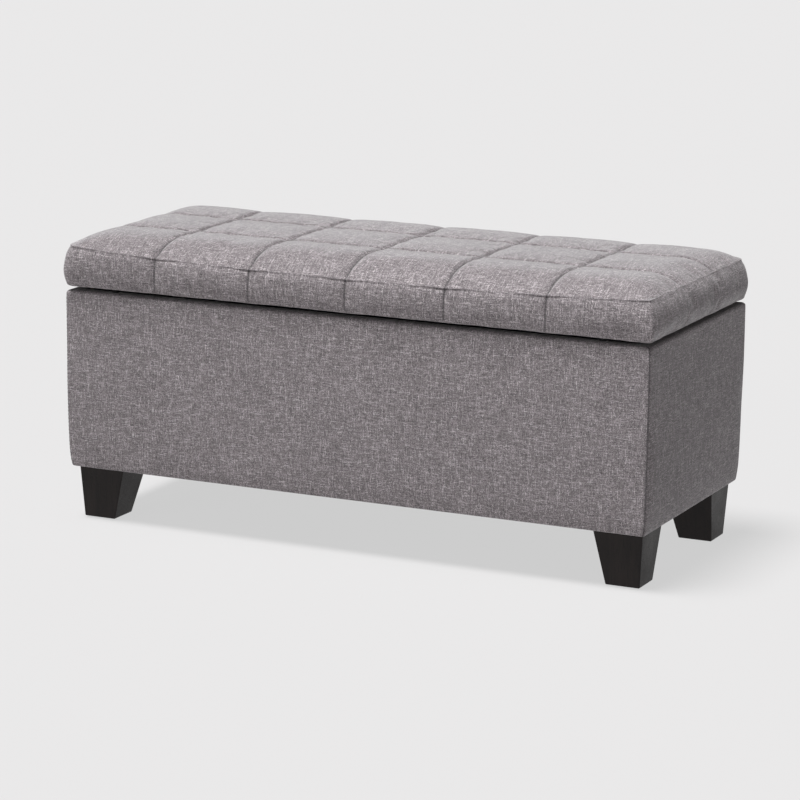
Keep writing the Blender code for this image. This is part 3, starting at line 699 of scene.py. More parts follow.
def roundedOutline(bm, half, corner, centre, spacing):
    # a wire outline with rounded corners and even points along its straight runs
    bmesh.ops.create_grid(bm, x_segments=1, y_segments=1, size=1.0)
    for v in bm.verts:
        v.co = (v.co.x * half[0] + centre[0], v.co.y * half[1] + centre[1], 0.0)
    bmesh.ops.bevel(
        bm, geom=bm.verts[:], offset=corner, segments=6, profile=0.5, affect="VERTICES", material=-1
    )
    bmesh.ops.delete(bm, geom=bm.faces[:], context="FACES_ONLY")
    for e in [e for e in bm.edges if e.calc_length() > 4 * spacing]:
        bmesh.ops.subdivide_edges(bm, edges=[e], cuts=round(e.calc_length() / spacing) - 1)
    plan = bm.verts.layers.float_vector.new("plan")
    for v in bm.verts:
        v[plan] = v.co
    return bm.edges[:]


def surfaceOf(piece):
    return BVHTree.FromPolygons(
        [v.co for v in piece.data.vertices], [face.vertices for face in piece.data.polygons]
    )


def stitchMatrix(place, normal, along, length, width, height):
    side = normal.cross(along).normalized()
    ahead = side.cross(normal).normalized()
    turn = Matrix((ahead, side, normal)).transposed().to_4x4()
    return Matrix.Translation(place) @ turn @ Matrix.Diagonal((length / 2, width / 2, height / 2, 1.0))


def sewnLine(surface, starts, cast, values):
    # matrices for stitches from a line of starts, each cast on to the surface
    hits = [surface.ray_cast(Vector(start), Vector(cast)) for start in starts]
    hits = [(hit[0], hit[1]) for hit in hits if hit[0] is not None]
    made = []
    for (first, normal), (second, other) in zip(hits, hits[1:]):
        along = second - first
        if along.length > values["pitch"] * 2.5:
            continue
        up = (normal + other).normalized()
        middle = (first + second) / 2 + up * values["proud"]
        made.append(
            stitchMatrix(middle, up, along, values["length"], values["width"], values["height"])
        )
    return made


def repeated(matrices, shape):
    # one mesh of many small shapes, made in batches because a large bmesh grows slowly
    whole = bmesh.new()
    for start in range(0, len(matrices), 40):
        batch = bmesh.new()
        for matrix in matrices[start:start + 40]:
            shape(batch, matrix)
        mesh = bpy.data.meshes.new("batch")
        batch.to_mesh(mesh)
        batch.free()
        whole.from_mesh(mesh)
        bpy.data.meshes.remove(mesh)
    return whole


def oneStitch(bm, matrix):
    bmesh.ops.create_uvsphere(bm, u_segments=6, v_segments=4, radius=1.0, matrix=matrix)


def cornerStitches(surface, centre, half, side, top, low):
    # stitches down the corner on the given side, cast in from a little way off
    out = Vector((*side, 0.0))
    corner = Vector((centre[0] + side[0] * half[0], centre[1] + side[1] * half[1], 0.0))
    place = corner + out * thread["castFrom"]
    line = lineOf(place + Vector((0, 0, top)), place + Vector((0, 0, low)), thread["pitch"])
    return sewnLine(surface, line, -out, thread)


def stitchPiece(name, matrices, body):
    piece = newPiece(name, repeated(matrices, oneStitch), greyThread)
    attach(piece, body)


def lineOf(start, end, pitch):
    start, end = Vector(start), Vector(end)
    count = max(2, round((end - start).length / pitch))
    return [start.lerp(end, index / count) for index in range(count + 1)]


thread = {
    "pitch": 0.0062,
    "length": 0.0048,
    "width": 0.0010,
    "height": 0.0008,
    "proud": 0.00005,
    "castFrom": 0.02,        # how far off a corner its stitches are cast from
}


# the quilted lid cushion

lidLow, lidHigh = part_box("lid_cover")
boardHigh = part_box("lid_board")[1]
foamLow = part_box("lid_foam")[0]

cushion = {
    "squaresAcross": 6,
    "rowLines": (0.326, 0.652),      # share of the depth, from the front
    "linesPerSquare": 28,
    "crowding": 0.62,                # how much the grid lines gather at the seams
    "corners": {(1, -1): 0.006, (-1, -1): 0.024, (1, 1): 0.024, (-1, 1): 0.018},
    "edgeDrop": 0.026,               # from the top of the box to the perimeter seam
    "frontSag": 0.010,               # how much lower that seam runs along the middle of the front
    "leftRise": 0.002,
    "eave": {"end": 0.0026, "front": 0.0004, "back": 0.0035},   # how far the seam lies inside the bulge
    "seamDrop": 0.0085,
    "waterfall": {"end": (0.058, 2.3), "front": (0.085, 2.3), "back": (0.088, 2.3)},
    "puff": 0.0021,
    "seamDip": (0.0012, 0.022),         # of the perimeter seam at each column: depth and width
    "columnGroove": (0.0034, 0.0046),   # depth and width
    "rowGroove": (0.0031, 0.0036),
    "bulge": 0.0042,
    "endBulge": 0.0052,
    "endFoot": 0.0034,               # how far the ends still stand out at their lower edge
    "endReach": 0.04,                # how far from an end its own shape fades out
    "eaveReach": 0.045,              # how far in the top is drawn with the perimeter seam
    "puffUneven": (0.35, 0.09),      # share and size of patches
    "wrinkle": (0.0006, 0.035),
    "tuck": ((0.0024, 0.0026), (0.0020, 0.035)),    # boxing at a column's seam: two depths and widths
    "notch": 0.0010,
    "boxingRipple": (0.0013, 0.06),
    "lowerWave": (0.0007, 0.045),
    "onSeam": 0.0004,                # a point this near a line counts as on it
    "rowLinesPerSquare": 23,
    "curl": 0.0040,
    "boxingSteps": 11,
    "turnUnder": 0.034,
    "clothWall": 0.0015,
    "sim": {"frames": 20, "pressure": 1.0, "cap": 0.004, "grow": -0.004},
}


def lidFacts():
    half, centre = halfAndCentre(lidLow, lidHigh)
    width = half[0] * 2 / cushion["squaresAcross"]
    columns = [lidLow.x + width * (index + 1) for index in range(cushion["squaresAcross"] - 1)]
    rows = [lidLow.y + half[1] * 2 * share for share in cushion["rowLines"]]
    return half, centre, columns, rows


lidHalf, lidCentre, lidColumns, lidRows = lidFacts()
lidEdge = lidHigh.z - cushion["edgeDrop"]


def nearest(value, lines):
    return min(abs(value - line) for line in lines)


def gathered(share, lines):
    # moves an even share of the way across on to seam lines, with the grid gathered beside them
    cells = len(lines) - 1
    cell = min(int(share * cells + 1e-6), cells - 1)
    inside = share * cells - cell
    inside -= cushion["crowding"] * math.sin(2 * math.pi * inside) / (2 * math.pi)
    return lines[cell] + (lines[cell + 1] - lines[cell]) * inside


def roundedPlan(place):
    # draws each corner square of the grid into a quarter circle
    side = (1 if place.x > lidCentre[0] else -1, 1 if place.y > lidCentre[1] else -1)
    radius = cushion["corners"][side]
    inner = Vector([lidCentre[i] + side[i] * (lidHalf[i] - radius) for i in (0, 1)])
    a = (place.x - inner.x) * side[0]
    b = (place.y - inner.y) * side[1]
    if a <= 0 or b <= 0:
        return Vector((place.x, place.y, 0.0))
    scale = max(a, b) / math.hypot(a, b)
    return Vector((inner.x + side[0] * a * scale, inner.y + side[1] * b * scale, 0.0))


def seamEdge(place):
    # the perimeter seam's height: it sags along the front, and dips where a column meets it
    front = smoothStep(lidCentre[1] - place.y, 0.06, lidHalf[1])
    middle = 1 - min(abs(place.x - lidCentre[0]) / lidHalf[0], 1.0) ** 2
    left = smoothStep(lidCentre[0] - place.x, 0.35, lidHalf[0])
    height = lidEdge - cushion["frontSag"] * front * middle + cushion["leftRise"] * left
    dip, width = cushion["seamDip"]
    return height - dip * bell(nearest(place.x, lidColumns), width)


def endness(place):
    # 1 at the two ends of the lid
    return 1 - smoothStep(lidHalf[0] - abs(place.x - lidCentre[0]), 0.0, cushion["endReach"])


def eaveAt(place):
    # how far the perimeter seam is drawn in, more at the ends, where it sits on a soft shoulder
    side = cushion["eave"]["front" if place.y < lidCentre[1] else "back"]
    return side + (cushion["eave"]["end"] - side) * endness(place)


def drawnToSeam(place):
    # moves a point of the top inwards with the seam beside it
    pull = eaveAt(place)
    moved = place.copy()
    for i in (0, 1):
        away = place[i] - lidCentre[i]
        near = max(1 - (lidHalf[i] - abs(away)) / cushion["eaveReach"], 0.0) ** 2
        moved[i] -= math.copysign(pull * near, away)
    return moved


def lidTop(place):
    # the height of the top before it is puffed out
    rise = 1.0
    for near, side in (
        (lidHalf[0] - abs(place.x - lidCentre[0]), "end"),
        (place.y - lidLow.y, "front"),
        (lidHigh.y - place.y, "back"),
    ):
        reach, power = cushion["waterfall"][side]
        rise *= 1 - (1 - min(max(near, 0.0) / reach, 1.0)) ** power
    puff = cushion["puff"]
    for value, lines in (
        (place.x, [lidLow.x, *lidColumns, lidHigh.x]),
        (place.y, [lidLow.y, *lidRows, lidHigh.y]),
    ):
        cell = max(index for index in range(len(lines) - 1) if value >= lines[index] - 1e-6)
        across = 2 * (value - lines[cell]) / (lines[cell + 1] - lines[cell]) - 1
        puff *= 1 - abs(across) ** 3
    low = seamEdge(place)
    height = low + (lidHigh.z - cushion["seamDrop"] - low) * rise
    share, patch = cushion["puffUneven"]
    deep, size = cushion["wrinkle"]
    return height + puff * (1 + share * uneven(place, patch)) + deep * uneven(place, size, 5.0) * rise


def boxingSteps():
    # (share of the way down, depth, height) of the boxing, then the curl beneath it
    steps = [(0.0, 0.0002, lidEdge - 0.0014)]
    low = lidLow.z + cushion["curl"]
    for index in range(cushion["boxingSteps"] + 1):
        share = index / cushion["boxingSteps"]
        depth = 0.0001 - cushion["bulge"] * math.sin(math.pi * share) ** 0.8
        steps.append((share, depth, lidEdge - 0.0030 - (lidEdge - 0.0030 - low) * share))
    for depth, height in arcSteps(cushion["curl"], low, cushion["curl"], -18, -90, 4):
        steps.append((1.0, depth, height))
    return steps


def isFrontOrBack(plan):
    return abs(abs(plan.y - lidCentre[1]) - lidHalf[1]) < 0.0005


def boxingShape(plan, step):
    # panels of the front and back boxing are drawn in at each column's seam
    share, depth, height = step
    off = nearest(plan.x, lidColumns)
    depth += eaveAt(plan) * max(1 - share / 0.26, 0.0) ** 2
    swell = (cushion["endBulge"] - cushion["bulge"]) * math.sin(math.pi * share)
    depth -= endness(plan) * (swell + cushion["endFoot"] * smoothStep(share, 0.2, 0.8))
    if isFrontOrBack(plan) and share < 1.0:
        (sharp, narrow), (soft, wide) = cushion["tuck"]
        drawnIn = sharp * bell(off, narrow) + soft * bell(off, wide)
        depth += drawnIn * math.sin(math.pi * min(share + 0.12, 1.0))
        depth += cushion["notch"] * (share == 0.0)
    deep, size = cushion["boxingRipple"]
    depth += deep * uneven(plan + Vector((0.0, 0.0, height)), size, 9.0) * math.sin(math.pi * share)
    if share == 1.0:
        deep, size = cushion["lowerWave"]
        height += deep * uneven(plan, size, 3.0)
    return depth, height - (lidEdge - seamEdge(plan)) * (1 - share)


def lidShell():
    # the top and the boxing, open below, with the seams marked for pinning
    bm = bmesh.new()
    columns = [lidLow.x, *lidColumns, lidHigh.x]
    rows = [lidLow.y, *lidRows, lidHigh.y]
    across = cushion["linesPerSquare"] * (len(columns) - 1)
    deep = cushion["rowLinesPerSquare"] * (len(rows) - 1)
    bmesh.ops.create_grid(bm, x_segments=across, y_segments=deep, size=0.5)
    plan = bm.verts.layers.float_vector.new("plan")
    pin = bm.verts.layers.float.new("pin")
    for v in bm.verts:
        flat = Vector((gathered(v.co.x + 0.5, columns), gathered(v.co.y + 0.5, rows), 0.0))
        onSeam = min(nearest(flat.x, columns), nearest(flat.y, rows)) < cushion["onSeam"]
        v[pin] = 1.0 if onSeam else 0.0
        v.co = roundedPlan(flat)
        v[plan] = v.co
        v.co = drawnToSeam(v.co)
        v.co.z = lidTop(flat)
    rim = [e for e in bm.edges if e.is_boundary]
    rim = drawRim(bm, rim, boxingSteps(), lidHalf, lidCentre, boxingShape, straight=True)
    held = {v for e in rim for v in e.verts}
    for v in bm.verts:
        boxing = v.co.z < seamEdge(v[plan]) - 0.0008 and v not in held
        if boxing:
            onColumn = nearest(v[plan].x, lidColumns) < cushion["onSeam"]
            v[pin] = 1.0 if onColumn and isFrontOrBack(v[plan]) else 0.0
    bmesh.ops.recalc_face_normals(bm, faces=bm.faces[:])
    return bm


def puffOut(piece, values):
    # lets the cloth swell between its pinned seams, and keeps each point near where it began
    mesh = piece.data
    start = [v.co.copy() for v in mesh.vertices]
    group = piece.vertex_groups.new(name="pin")
    for index, item in enumerate(mesh.attributes["pin"].data):
        if item.value > 0:
            group.add([index], item.value, "REPLACE")
    cloth = piece.modifiers.new("puff", "CLOTH")
    settings = {
        "quality": 5,
        "mass": 0.25,
        "tension_stiffness": 18,
        "compression_stiffness": 18,
        "shear_stiffness": 8,
        "bending_stiffness": 0.6,
        "vertex_group_mass": "pin",
        "use_pressure": True,
        "uniform_pressure_force": values["pressure"],
        "shrink_min": values["grow"],
    }
    for key, value in settings.items():
        setattr(cloth.settings, key, value)
    cloth.settings.effector_weights.gravity = 0.0
    cloth.point_cache.frame_start = 1
    cloth.point_cache.frame_end = values["frames"]
    scene = bpy.context.scene
    for step in range(1, values["frames"] + 1):
        scene.frame_set(step)
    graph = bpy.context.evaluated_depsgraph_get()
    swollen = [v.co.copy() for v in piece.evaluated_get(graph).data.vertices]
    piece.modifiers.clear()
    piece.vertex_groups.clear()
    scene.frame_set(1)
    farthest = 0.0
    for v, before, after in zip(mesh.vertices, start, swollen):
        move = after - before
        farthest = max(farthest, move.length)
        limit = values["cap"]
        v.co = before + (move * (limit / move.length) if move.length > limit else move)
    mesh.update()
    print(f"cloth swelled by up to {farthest * 1000:.1f} mm")


def closeUnder(piece):
    # turns the cover under the board and shapes the recess that the board fills
    bm = openMesh(piece)
    crease = bm.edges.layers.float.new("crease_edge")
    inset = (lidHigh.x - boardHigh.x) - 0.0003
    under = lidLow.z + cushion["clothWall"]
    rim = [e for e in bm.edges if e.is_boundary]
    for depth in (0.012, 0.021, cushion["turnUnder"] - 0.001, cushion["turnUnder"]):
        rim = drawRim(bm, rim, [(depth, lidLow.z)], lidHalf, lidCentre)
    for depth, height in (
        (cushion["turnUnder"], under),
        (inset, under),
        (inset, foamLow.z),
    ):
        for e in rim:
            e[crease] = 1.0
        rim = drawRim(bm, rim, [(depth, height)], lidHalf, lidCentre)
    for e in rim:
        e[crease] = 1.0
    bmesh.ops.recalc_face_normals(bm, faces=bm.faces[:])
    putBack(bm, piece)


def shutRecess(piece):
    bm = openMesh(piece)
    bmesh.ops.edgeloop_fill(bm, edges=[e for e in bm.edges if e.is_boundary])
    bmesh.ops.recalc_face_normals(bm, faces=bm.faces[:])
    putBack(bm, piece)


seamShade = {
    "line": (0.95, 0.0012),               # share and width of a seam's dark line
    "soft": 0.18,                         # share of the shade across its groove
    "sideWidth": 0.0015,                  # of the line down the boxing
    "rim": (0.45, 0.0009, 0.0017),        # share, width and drop of the perimeter seam's broken line
}


def darkLine(distance, width):
    share, narrow = seamShade["line"]
    return min(share * bell(distance, narrow) + seamShade["soft"] * bell(distance, width), 1.0)


def paintedSeamShade(place):
    # painted shade and dirt along the seams: 0 away from the quilting, 1 in the bottom of a seam
    edge = seamEdge(place)
    onTop = smoothStep(place.z, edge - 0.001, edge + 0.005)
    column = darkLine(nearest(place.x, lidColumns), cushion["columnGroove"][1])
    row = darkLine(nearest(place.y, lidRows), cushion["rowGroove"][1])
    side, rim = 0.0, 0.0
    if abs(place.y - lidCentre[1]) > lidHalf[1] - 0.006:
        side = bell(nearest(place.x, lidColumns), seamShade["sideWidth"])
        side *= smoothStep(place.z, lidLow.z + 0.002, lidLow.z + 0.007)
        broken = 0.65 + 0.9 * uneven(place, 0.005, 6.0)
        share, width, drop = seamShade["rim"]
        rim = share * max(broken, 0.0) * bell(place.z - (edge - drop), width)
    return max(column * onTop, row * onTop, side, rim)


def sewQuilting(piece):
    # draws the seams down into the padding
    for v in piece.data.vertices:
        edge = seamEdge(v.co)
        onTop = smoothStep(v.co.z, edge - 0.001, edge + 0.006)
        if onTop <= 0.0:
            continue
        depth = 0.0
        for value, lines, groove in (
            (v.co.x, lidColumns, cushion["columnGroove"]),
            (v.co.y, lidRows, cushion["rowGroove"]),
        ):
            depth = max(depth, groove[0] * bell(nearest(value, lines), groove[1]))
        v.co.z -= depth * onTop


def makeLidCushion():
    bm = lidShell()
    piece = newPiece("lidCushion", bm, greyLinen)
    puffOut(piece, cushion["sim"])
    closeUnder(piece)
    subdivided(piece)
    applied(piece)
    shutRecess(piece)
    sewQuilting(piece)
    piece.data.shade_smooth()
    cutMap(piece.data)
    setGroove(piece.data, paintedSeamShade)
    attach(piece, "lid")
    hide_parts("lid_cover", "lid_foam")
    return piece


def sewLid(piece):
    surface = surfaceOf(piece)
    above = lidHigh.z + 0.05
    inside = 0.004
    matrices = []
    for x in lidColumns:
        line = lineOf((x, lidLow.y + inside, above), (x, lidHigh.y - inside, above), thread["pitch"])
        matrices += sewnLine(surface, line, (0, 0, -1), thread)
        for side in (-1, 1):
            away = lidCentre[1] + side * (lidHalf[1] + 0.05)
            top = seamEdge(Vector((x, lidCentre[1] + side * lidHalf[1], 0.0))) - 0.003
            line = lineOf((x, away, top), (x, away, lidLow.z + 0.005), thread["pitch"])
            matrices += sewnLine(surface, line, (0, -side, 0), thread)
    for y in lidRows:
        line = lineOf((lidLow.x + inside, y, above), (lidHigh.x - inside, y, above), thread["pitch"])
        matrices += sewnLine(surface, line, (0, 0, -1), thread)
    top, low = lidEdge - 0.004, lidLow.z + 0.007
    for side in cushion["corners"]:
        matrices += cornerStitches(surface, lidCentre, lidHalf, side, top, low)
    stitchPiece("lidStitches", matrices, "lid")


# the base's fitted cover

baseLow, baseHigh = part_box("base_cover")
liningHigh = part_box("box_lining")[1]

baseCloth = {
    "spacing": 0.012,
    "corner": 0.0050,
    "bottomRadius": 0.0025,
    "rimRadius": 0.0055,
    "crown": 0.0048,
    "lean": (0.0022, 0.034),            # how far in at the bottom, over what height
    "endSwell": {-1: 0.0022, 1: 0.0040},    # the ends stand out most near the top
    "turnUnder": 0.030,
    "wall": 0.0013,
    "steps": 24,
    "ripple": 0.0005,
}


baseHalf, baseCentre = halfAndCentre(baseLow, baseHigh)


def baseSteps():
    low, high = baseLow.z, baseHigh.z
    small, large = baseCloth["bottomRadius"], baseCloth["rimRadius"]
    steps = [(0.022, low), (0.014, low), (0.009, low)]
    steps += arcSteps(small, low + small, small, -90, 0, 3)
    bottom, top = low + small, high - large
    for index in range(1, baseCloth["steps"]):
        share = index / baseCloth["steps"]
        steps.append((0.0, bottom + (top - bottom) * share))
    steps += arcSteps(large, top, large, 0, 90, 5)
    inner = baseHigh.x - (liningHigh.x + 0.0003)
    steps += [((large + inner) / 2, high), (inner, high)]
    return steps


def baseShape(plan, step):
    # panels crown between their corners; cloth ripples a little along them
    depth, height = step
    share = min(max((height - baseLow.z) / (baseHigh.z - baseLow.z), 0.0), 1.0)
    depth += leanAt(height)
    along = max(
        min(1 - abs(plan.x - baseCentre[0]) / baseHalf[0], 1.0),
        min(1 - abs(plan.y - baseCentre[1]) / baseHalf[1], 1.0),
    )
    fade = (0.5 + 0.5 * smoothStep(along, 0.0, 0.12)) * math.sin(math.pi * share) ** 0.8
    ripple = baseCloth["ripple"] * uneven(plan + Vector((0.0, 0.0, height)), 0.07, 3.0)
    end = 1 - smoothStep(baseHalf[0] - abs(plan.x - baseCentre[0]), 0.0, 0.03)
    outside = 1 - smoothStep(depth, 0.004, 0.012)
    most = baseCloth["endSwell"][1 if plan.x > baseCentre[0] else -1]
    swell = most * smoothStep(share, 0.0, 0.75) * outside * end
    return depth - max((baseCloth["crown"] + ripple) * fade, swell), height


def cornerSeamShade(place):
    # painted shade and dirt along the seam down each corner: 1 there, where both walls are as near
    gaps = [baseHalf[i] - abs(place[i] - baseCentre[i]) for i in (0, 1)]
    return bell(gaps[0] - gaps[1], 0.0016) * (1 - smoothStep(min(gaps), 0.006, 0.010))


def makeBaseCover():
    bm = bmesh.new()
    rim = roundedOutline(bm, baseHalf, baseCloth["corner"], baseCentre, baseCloth["spacing"])
    plan = bm.verts.layers.float_vector["plan"]
    for v in bm.verts:
        scale = [1 - baseCloth["turnUnder"] / value for value in baseHalf]
        v.co = (
            baseCentre[0] + (v[plan].x - baseCentre[0]) * scale[0],
            baseCentre[1] + (v[plan].y - baseCentre[1]) * scale[1],
            baseLow.z,
        )
    drawRim(bm, rim, baseSteps(), baseHalf, baseCentre, baseShape)
    bmesh.ops.recalc_face_normals(bm, faces=bm.faces[:])
    piece = newPiece("baseCover", bm, greyLinen)
    faceOut(piece)
    subdivided(piece)
    thickened(piece, baseCloth["wall"], -1.0)
    applied(piece)
    piece.data.shade_smooth()
    cutMap(piece.data)
    setGroove(piece.data, cornerSeamShade)
    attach(piece, "base")
    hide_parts("base_cover")
    return piece


def faceOut(piece):
    # an open sleeve has no inside, so its faces are turned by where they look
    bm = openMesh(piece)
    level = (baseLow.z + baseHigh.z) / 2
    middle = [f for f in bm.faces if abs(f.calc_center_median().z - level) < 0.02]
    if sum(f.normal.xy.dot(f.calc_center_median().xy) for f in middle) < 0:
        bmesh.ops.reverse_faces(bm, faces=bm.faces[:])
    putBack(bm, piece)


def sewBase(piece):
    surface = surfaceOf(piece)
    top, low = baseHigh.z - 0.010, baseLow.z + 0.008
    matrices = []
    for side in ((-1, -1), (-1, 1), (1, -1), (1, 1)):
        matrices += cornerStitches(surface, baseCentre, baseHalf, side, top, low)
    stitchPiece("baseStitches", matrices, "base")


# padding under the cover

padding = {"edge": 0.0045, "cuts": 11, "longSide": 0.05}


def leanAt(height):
    # how far the cover leans in, near its bottom edge
    far, reach = baseCloth["lean"]
    return far * max(1 - (height - baseLow.z) / reach, 0.0) ** 2


def makePadding(node, axis, side):
    # a thin foam sheet with soft edges, drawn in below as the cover draws it
    low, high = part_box(node)
    size, middle = high - low, (high + low) / 2
    bm = bmesh.new()
    bmesh.ops.create_cube(bm, size=1.0)
    for v in bm.verts:
        v.co = Vector(v.co[i] * size[i] + middle[i] for i in range(3))
    bmesh.ops.bevel(
        bm, geom=bm.edges[:], offset=padding["edge"], segments=3, profile=0.5, affect="EDGES", material=-1
    )
    for e in [e for e in bm.edges if e.calc_length() > padding["longSide"]]:
        if abs(e.verts[0].co.z - e.verts[1].co.z) > padding["longSide"]:
            bmesh.ops.subdivide_edges(bm, edges=[e], cuts=padding["cuts"])
    for v in bm.verts:
        if (v.co[axis] - middle[axis]) * side > 0:
            v.co[axis] -= side * leanAt(v.co.z)
    bmesh.ops.triangulate(bm, faces=[f for f in bm.faces if len(f.verts) > 4])
    piece = newPiece(node.replace("_padding", "Padding"), bm, paddingFoam)
    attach(piece, "base")
    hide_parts(node)


# linings and the dust cover

liningCloth = {
    "spacing": 0.016,
    "wall": 0.0008,
    "pucker": 0.0007,
    "hem": 0.014,
    "hemProud": 0.0004,
    "flatHem": 0.00010,       # how far a stapled sheet stands off at its hem, and within it
    "flatLoose": 0.00012,
}

staple = {
    "length": 0.010,
    "width": 0.0011,
    "height": 0.0006,
    "bevel": 0.00022,
    "pitch": 0.034,
    "inset": 0.007,          # from the sheet's edge
    "proud": 0.0001,
    "slant": 14,             # degrees either way
    "fromCorner": 0.012,
    "fromFitting": 0.008,
}


def thicken(piece, wall):
    # gives a sheet its thickness and its flat map
    thickened(piece, wall, 1.0)
    applied(piece)
    piece.data.shade_smooth()
    cutMap(piece.data)


def bracketNear(place):
    # 1 at the strut brackets, where the cloth has to lie flat
    near = 0.0
    for side in ("left", "right"):
        low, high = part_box("strut_foot_bracket_" + side)
        middle = (low + high) / 2
        near = max(near, bell((place - middle).length, 0.045))
    return near


def makeBoxLining():
    # floor and walls in one, sewn up the corners, with a folded hem at the top
    low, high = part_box("box_lining")
    wide, deep = high.x - low.x, high.y - low.y
    step = liningCloth["spacing"]
    bm = bmesh.new()
    bmesh.ops.create_grid(bm, x_segments=round(wide / step), y_segments=round(deep / step), size=0.5)
    for v in bm.verts:
        v.co = (low.x + wide * (v.co.x + 0.5), low.y + deep * (v.co.y + 0.5), low.z)
    edges = [e for e in bm.edges if e.is_boundary]
    hem = high.z - liningCloth["hem"]
    heights = [low.z + (hem - low.z) * index / 15 for index in range(1, 16)]
    for height in heights + [hem + 0.0015, (hem + high.z) / 2, high.z]:
        edges, ring = extrudedRim(bm, edges)
        for v in ring:
            v.co.z = height
    for v in bm.verts:
        inward = Vector((
            (v.co.x < low.x + 0.001) - (v.co.x > high.x - 0.001),
            (v.co.y < low.y + 0.001) - (v.co.y > high.y - 0.001),
            v.co.z < low.z + 0.001,
        ))
        loose = liningCloth["pucker"] * (0.5 + uneven(v.co, 0.055, 7.0)) * (1 - bracketNear(v.co))
        v.co += inward * max(loose, 0.0) * (v.co.z < hem)
        if v.co.z > hem + 0.001:
            v.co += inward * liningCloth["hemProud"]
    bmesh.ops.recalc_face_normals(bm, faces=bm.faces[:])
    if sum(f.normal.z * (f.calc_center_median().z < low.z + 0.002) for f in bm.faces) < 0:
        bmesh.ops.reverse_faces(bm, faces=bm.faces[:])
    piece = newPiece("boxLining", bm, liningFleece)
    thicken(piece, liningCloth["wall"])
    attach(piece, "base")
    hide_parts("box_lining")


def flatCloth(name, node, body, material):
    # a stapled sheet with a folded hem round it
    low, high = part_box(node)
    wide, deep = high.x - low.x, high.y - low.y
    step = liningCloth["spacing"]
    bm = bmesh.new()
    bmesh.ops.create_grid(bm, x_segments=round(wide / step), y_segments=round(deep / step), size=0.5)
    for v in bm.verts:
        v.co = (low.x + wide * (v.co.x + 0.5), low.y + deep * (v.co.y + 0.5), high.z)
    for v in bm.verts:
        edge = min(v.co.x - low.x, high.x - v.co.x, v.co.y - low.y, high.y - v.co.y)
        loose = liningCloth["flatLoose"] * (1 + uneven(v.co, 0.03, 4.0))
        v.co.z -= liningCloth["flatHem"] if edge < liningCloth["hem"] else loose
    bmesh.ops.recalc_face_normals(bm, faces=bm.faces[:])
    if sum(f.normal.z for f in bm.faces) > 0:
        bmesh.ops.reverse_faces(bm, faces=bm.faces[:])
    piece = newPiece(name, bm, material)
    thicken(piece, liningCloth["wall"] * 0.85)
    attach(piece, body)
    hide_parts(node)


def oneStaple(bm, matrix):
    made = bmesh.ops.create_cube(bm, size=2.0, matrix=matrix)["verts"]
    edges = list({e for v in made for e in v.link_edges})
    bmesh.ops.bevel(
        bm, geom=edges, offset=staple["bevel"], segments=1, profile=0.5, affect="EDGES", material=-1
    )


def stapleRound(name, node, body, skip):
    # staples round a sheet's edge, on its lower face, left out where another piece lies
    low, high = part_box(node)
    inset, level = staple["inset"], low.z - staple["proud"]
    x0, x1, y0, y1 = low.x + inset, high.x - inset, low.y + inset, high.y - inset
    down = Vector((0.0, 0.0, -1.0))
    size = (staple["length"], staple["width"], staple["height"])
    sides = (
        ((x0, y0), (x1, y0)),
        ((x0, y1), (x1, y1)),
        ((x0, y0), (x0, y1)),
        ((x1, y0), (x1, y1)),
    )
    places = []
    for start, end in sides:
        start, end = Vector((*start, level)), Vector((*end, level))
        along = (end - start).normalized()
        back = along * staple["fromCorner"]
        for place in lineOf(start + back, end - back, staple["pitch"]):
            slant = math.radians(random.uniform(-staple["slant"], staple["slant"]))
            if not any(inBox(place, *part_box(other), staple["fromFitting"]) for other in skip):
                turned = Matrix.Rotation(slant, 4, "Z") @ along
                places.append(stitchMatrix(place, down, turned, *size))
    piece = newPiece(name, repeated(places, oneStaple), zincSteel)
    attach(piece, body)


def inBox(place, low, high, margin):
    return all(low[i] - margin < place[i] < high[i] + margin for i in (0, 1))


def makeLinings():
    makeBoxLining()
    flatCloth("lidLining", "lid_lining", "lid", liningFleece)
    flatCloth("dustCover", "dust_cover", "base", dustFleece)
    lidFittings = [f"hinge_upper_leaf_{side}" for side in ("left", "right")]
    lidFittings += [f"strut_head_bracket_{side}" for side in ("left", "right")]
    stapleRound("lidStaples", "lid_lining", "lid", lidFittings)
    legs = [f"leg_{end}_{side}" for end in ("front", "rear") for side in ("left", "right")]
    stapleRound("dustStaples", "dust_cover", "base", legs)


# screws for the hinges and the strut brackets

screw = {
    "head": 0.0036,
    "dome": 0.0005,
    "shank": 0.0014,
    "length": 0.0075,
    "slot": 0.0011,        # depth of the cross
    "seat": 0.0004,        # how far the head sinks into its hole
}


screwRings = (        # (radius, height) of the rings below the head's edge
    (0.0034, -0.0004),
    (screw["shank"], -0.0024),
    (0.0011, -screw["length"]),
)


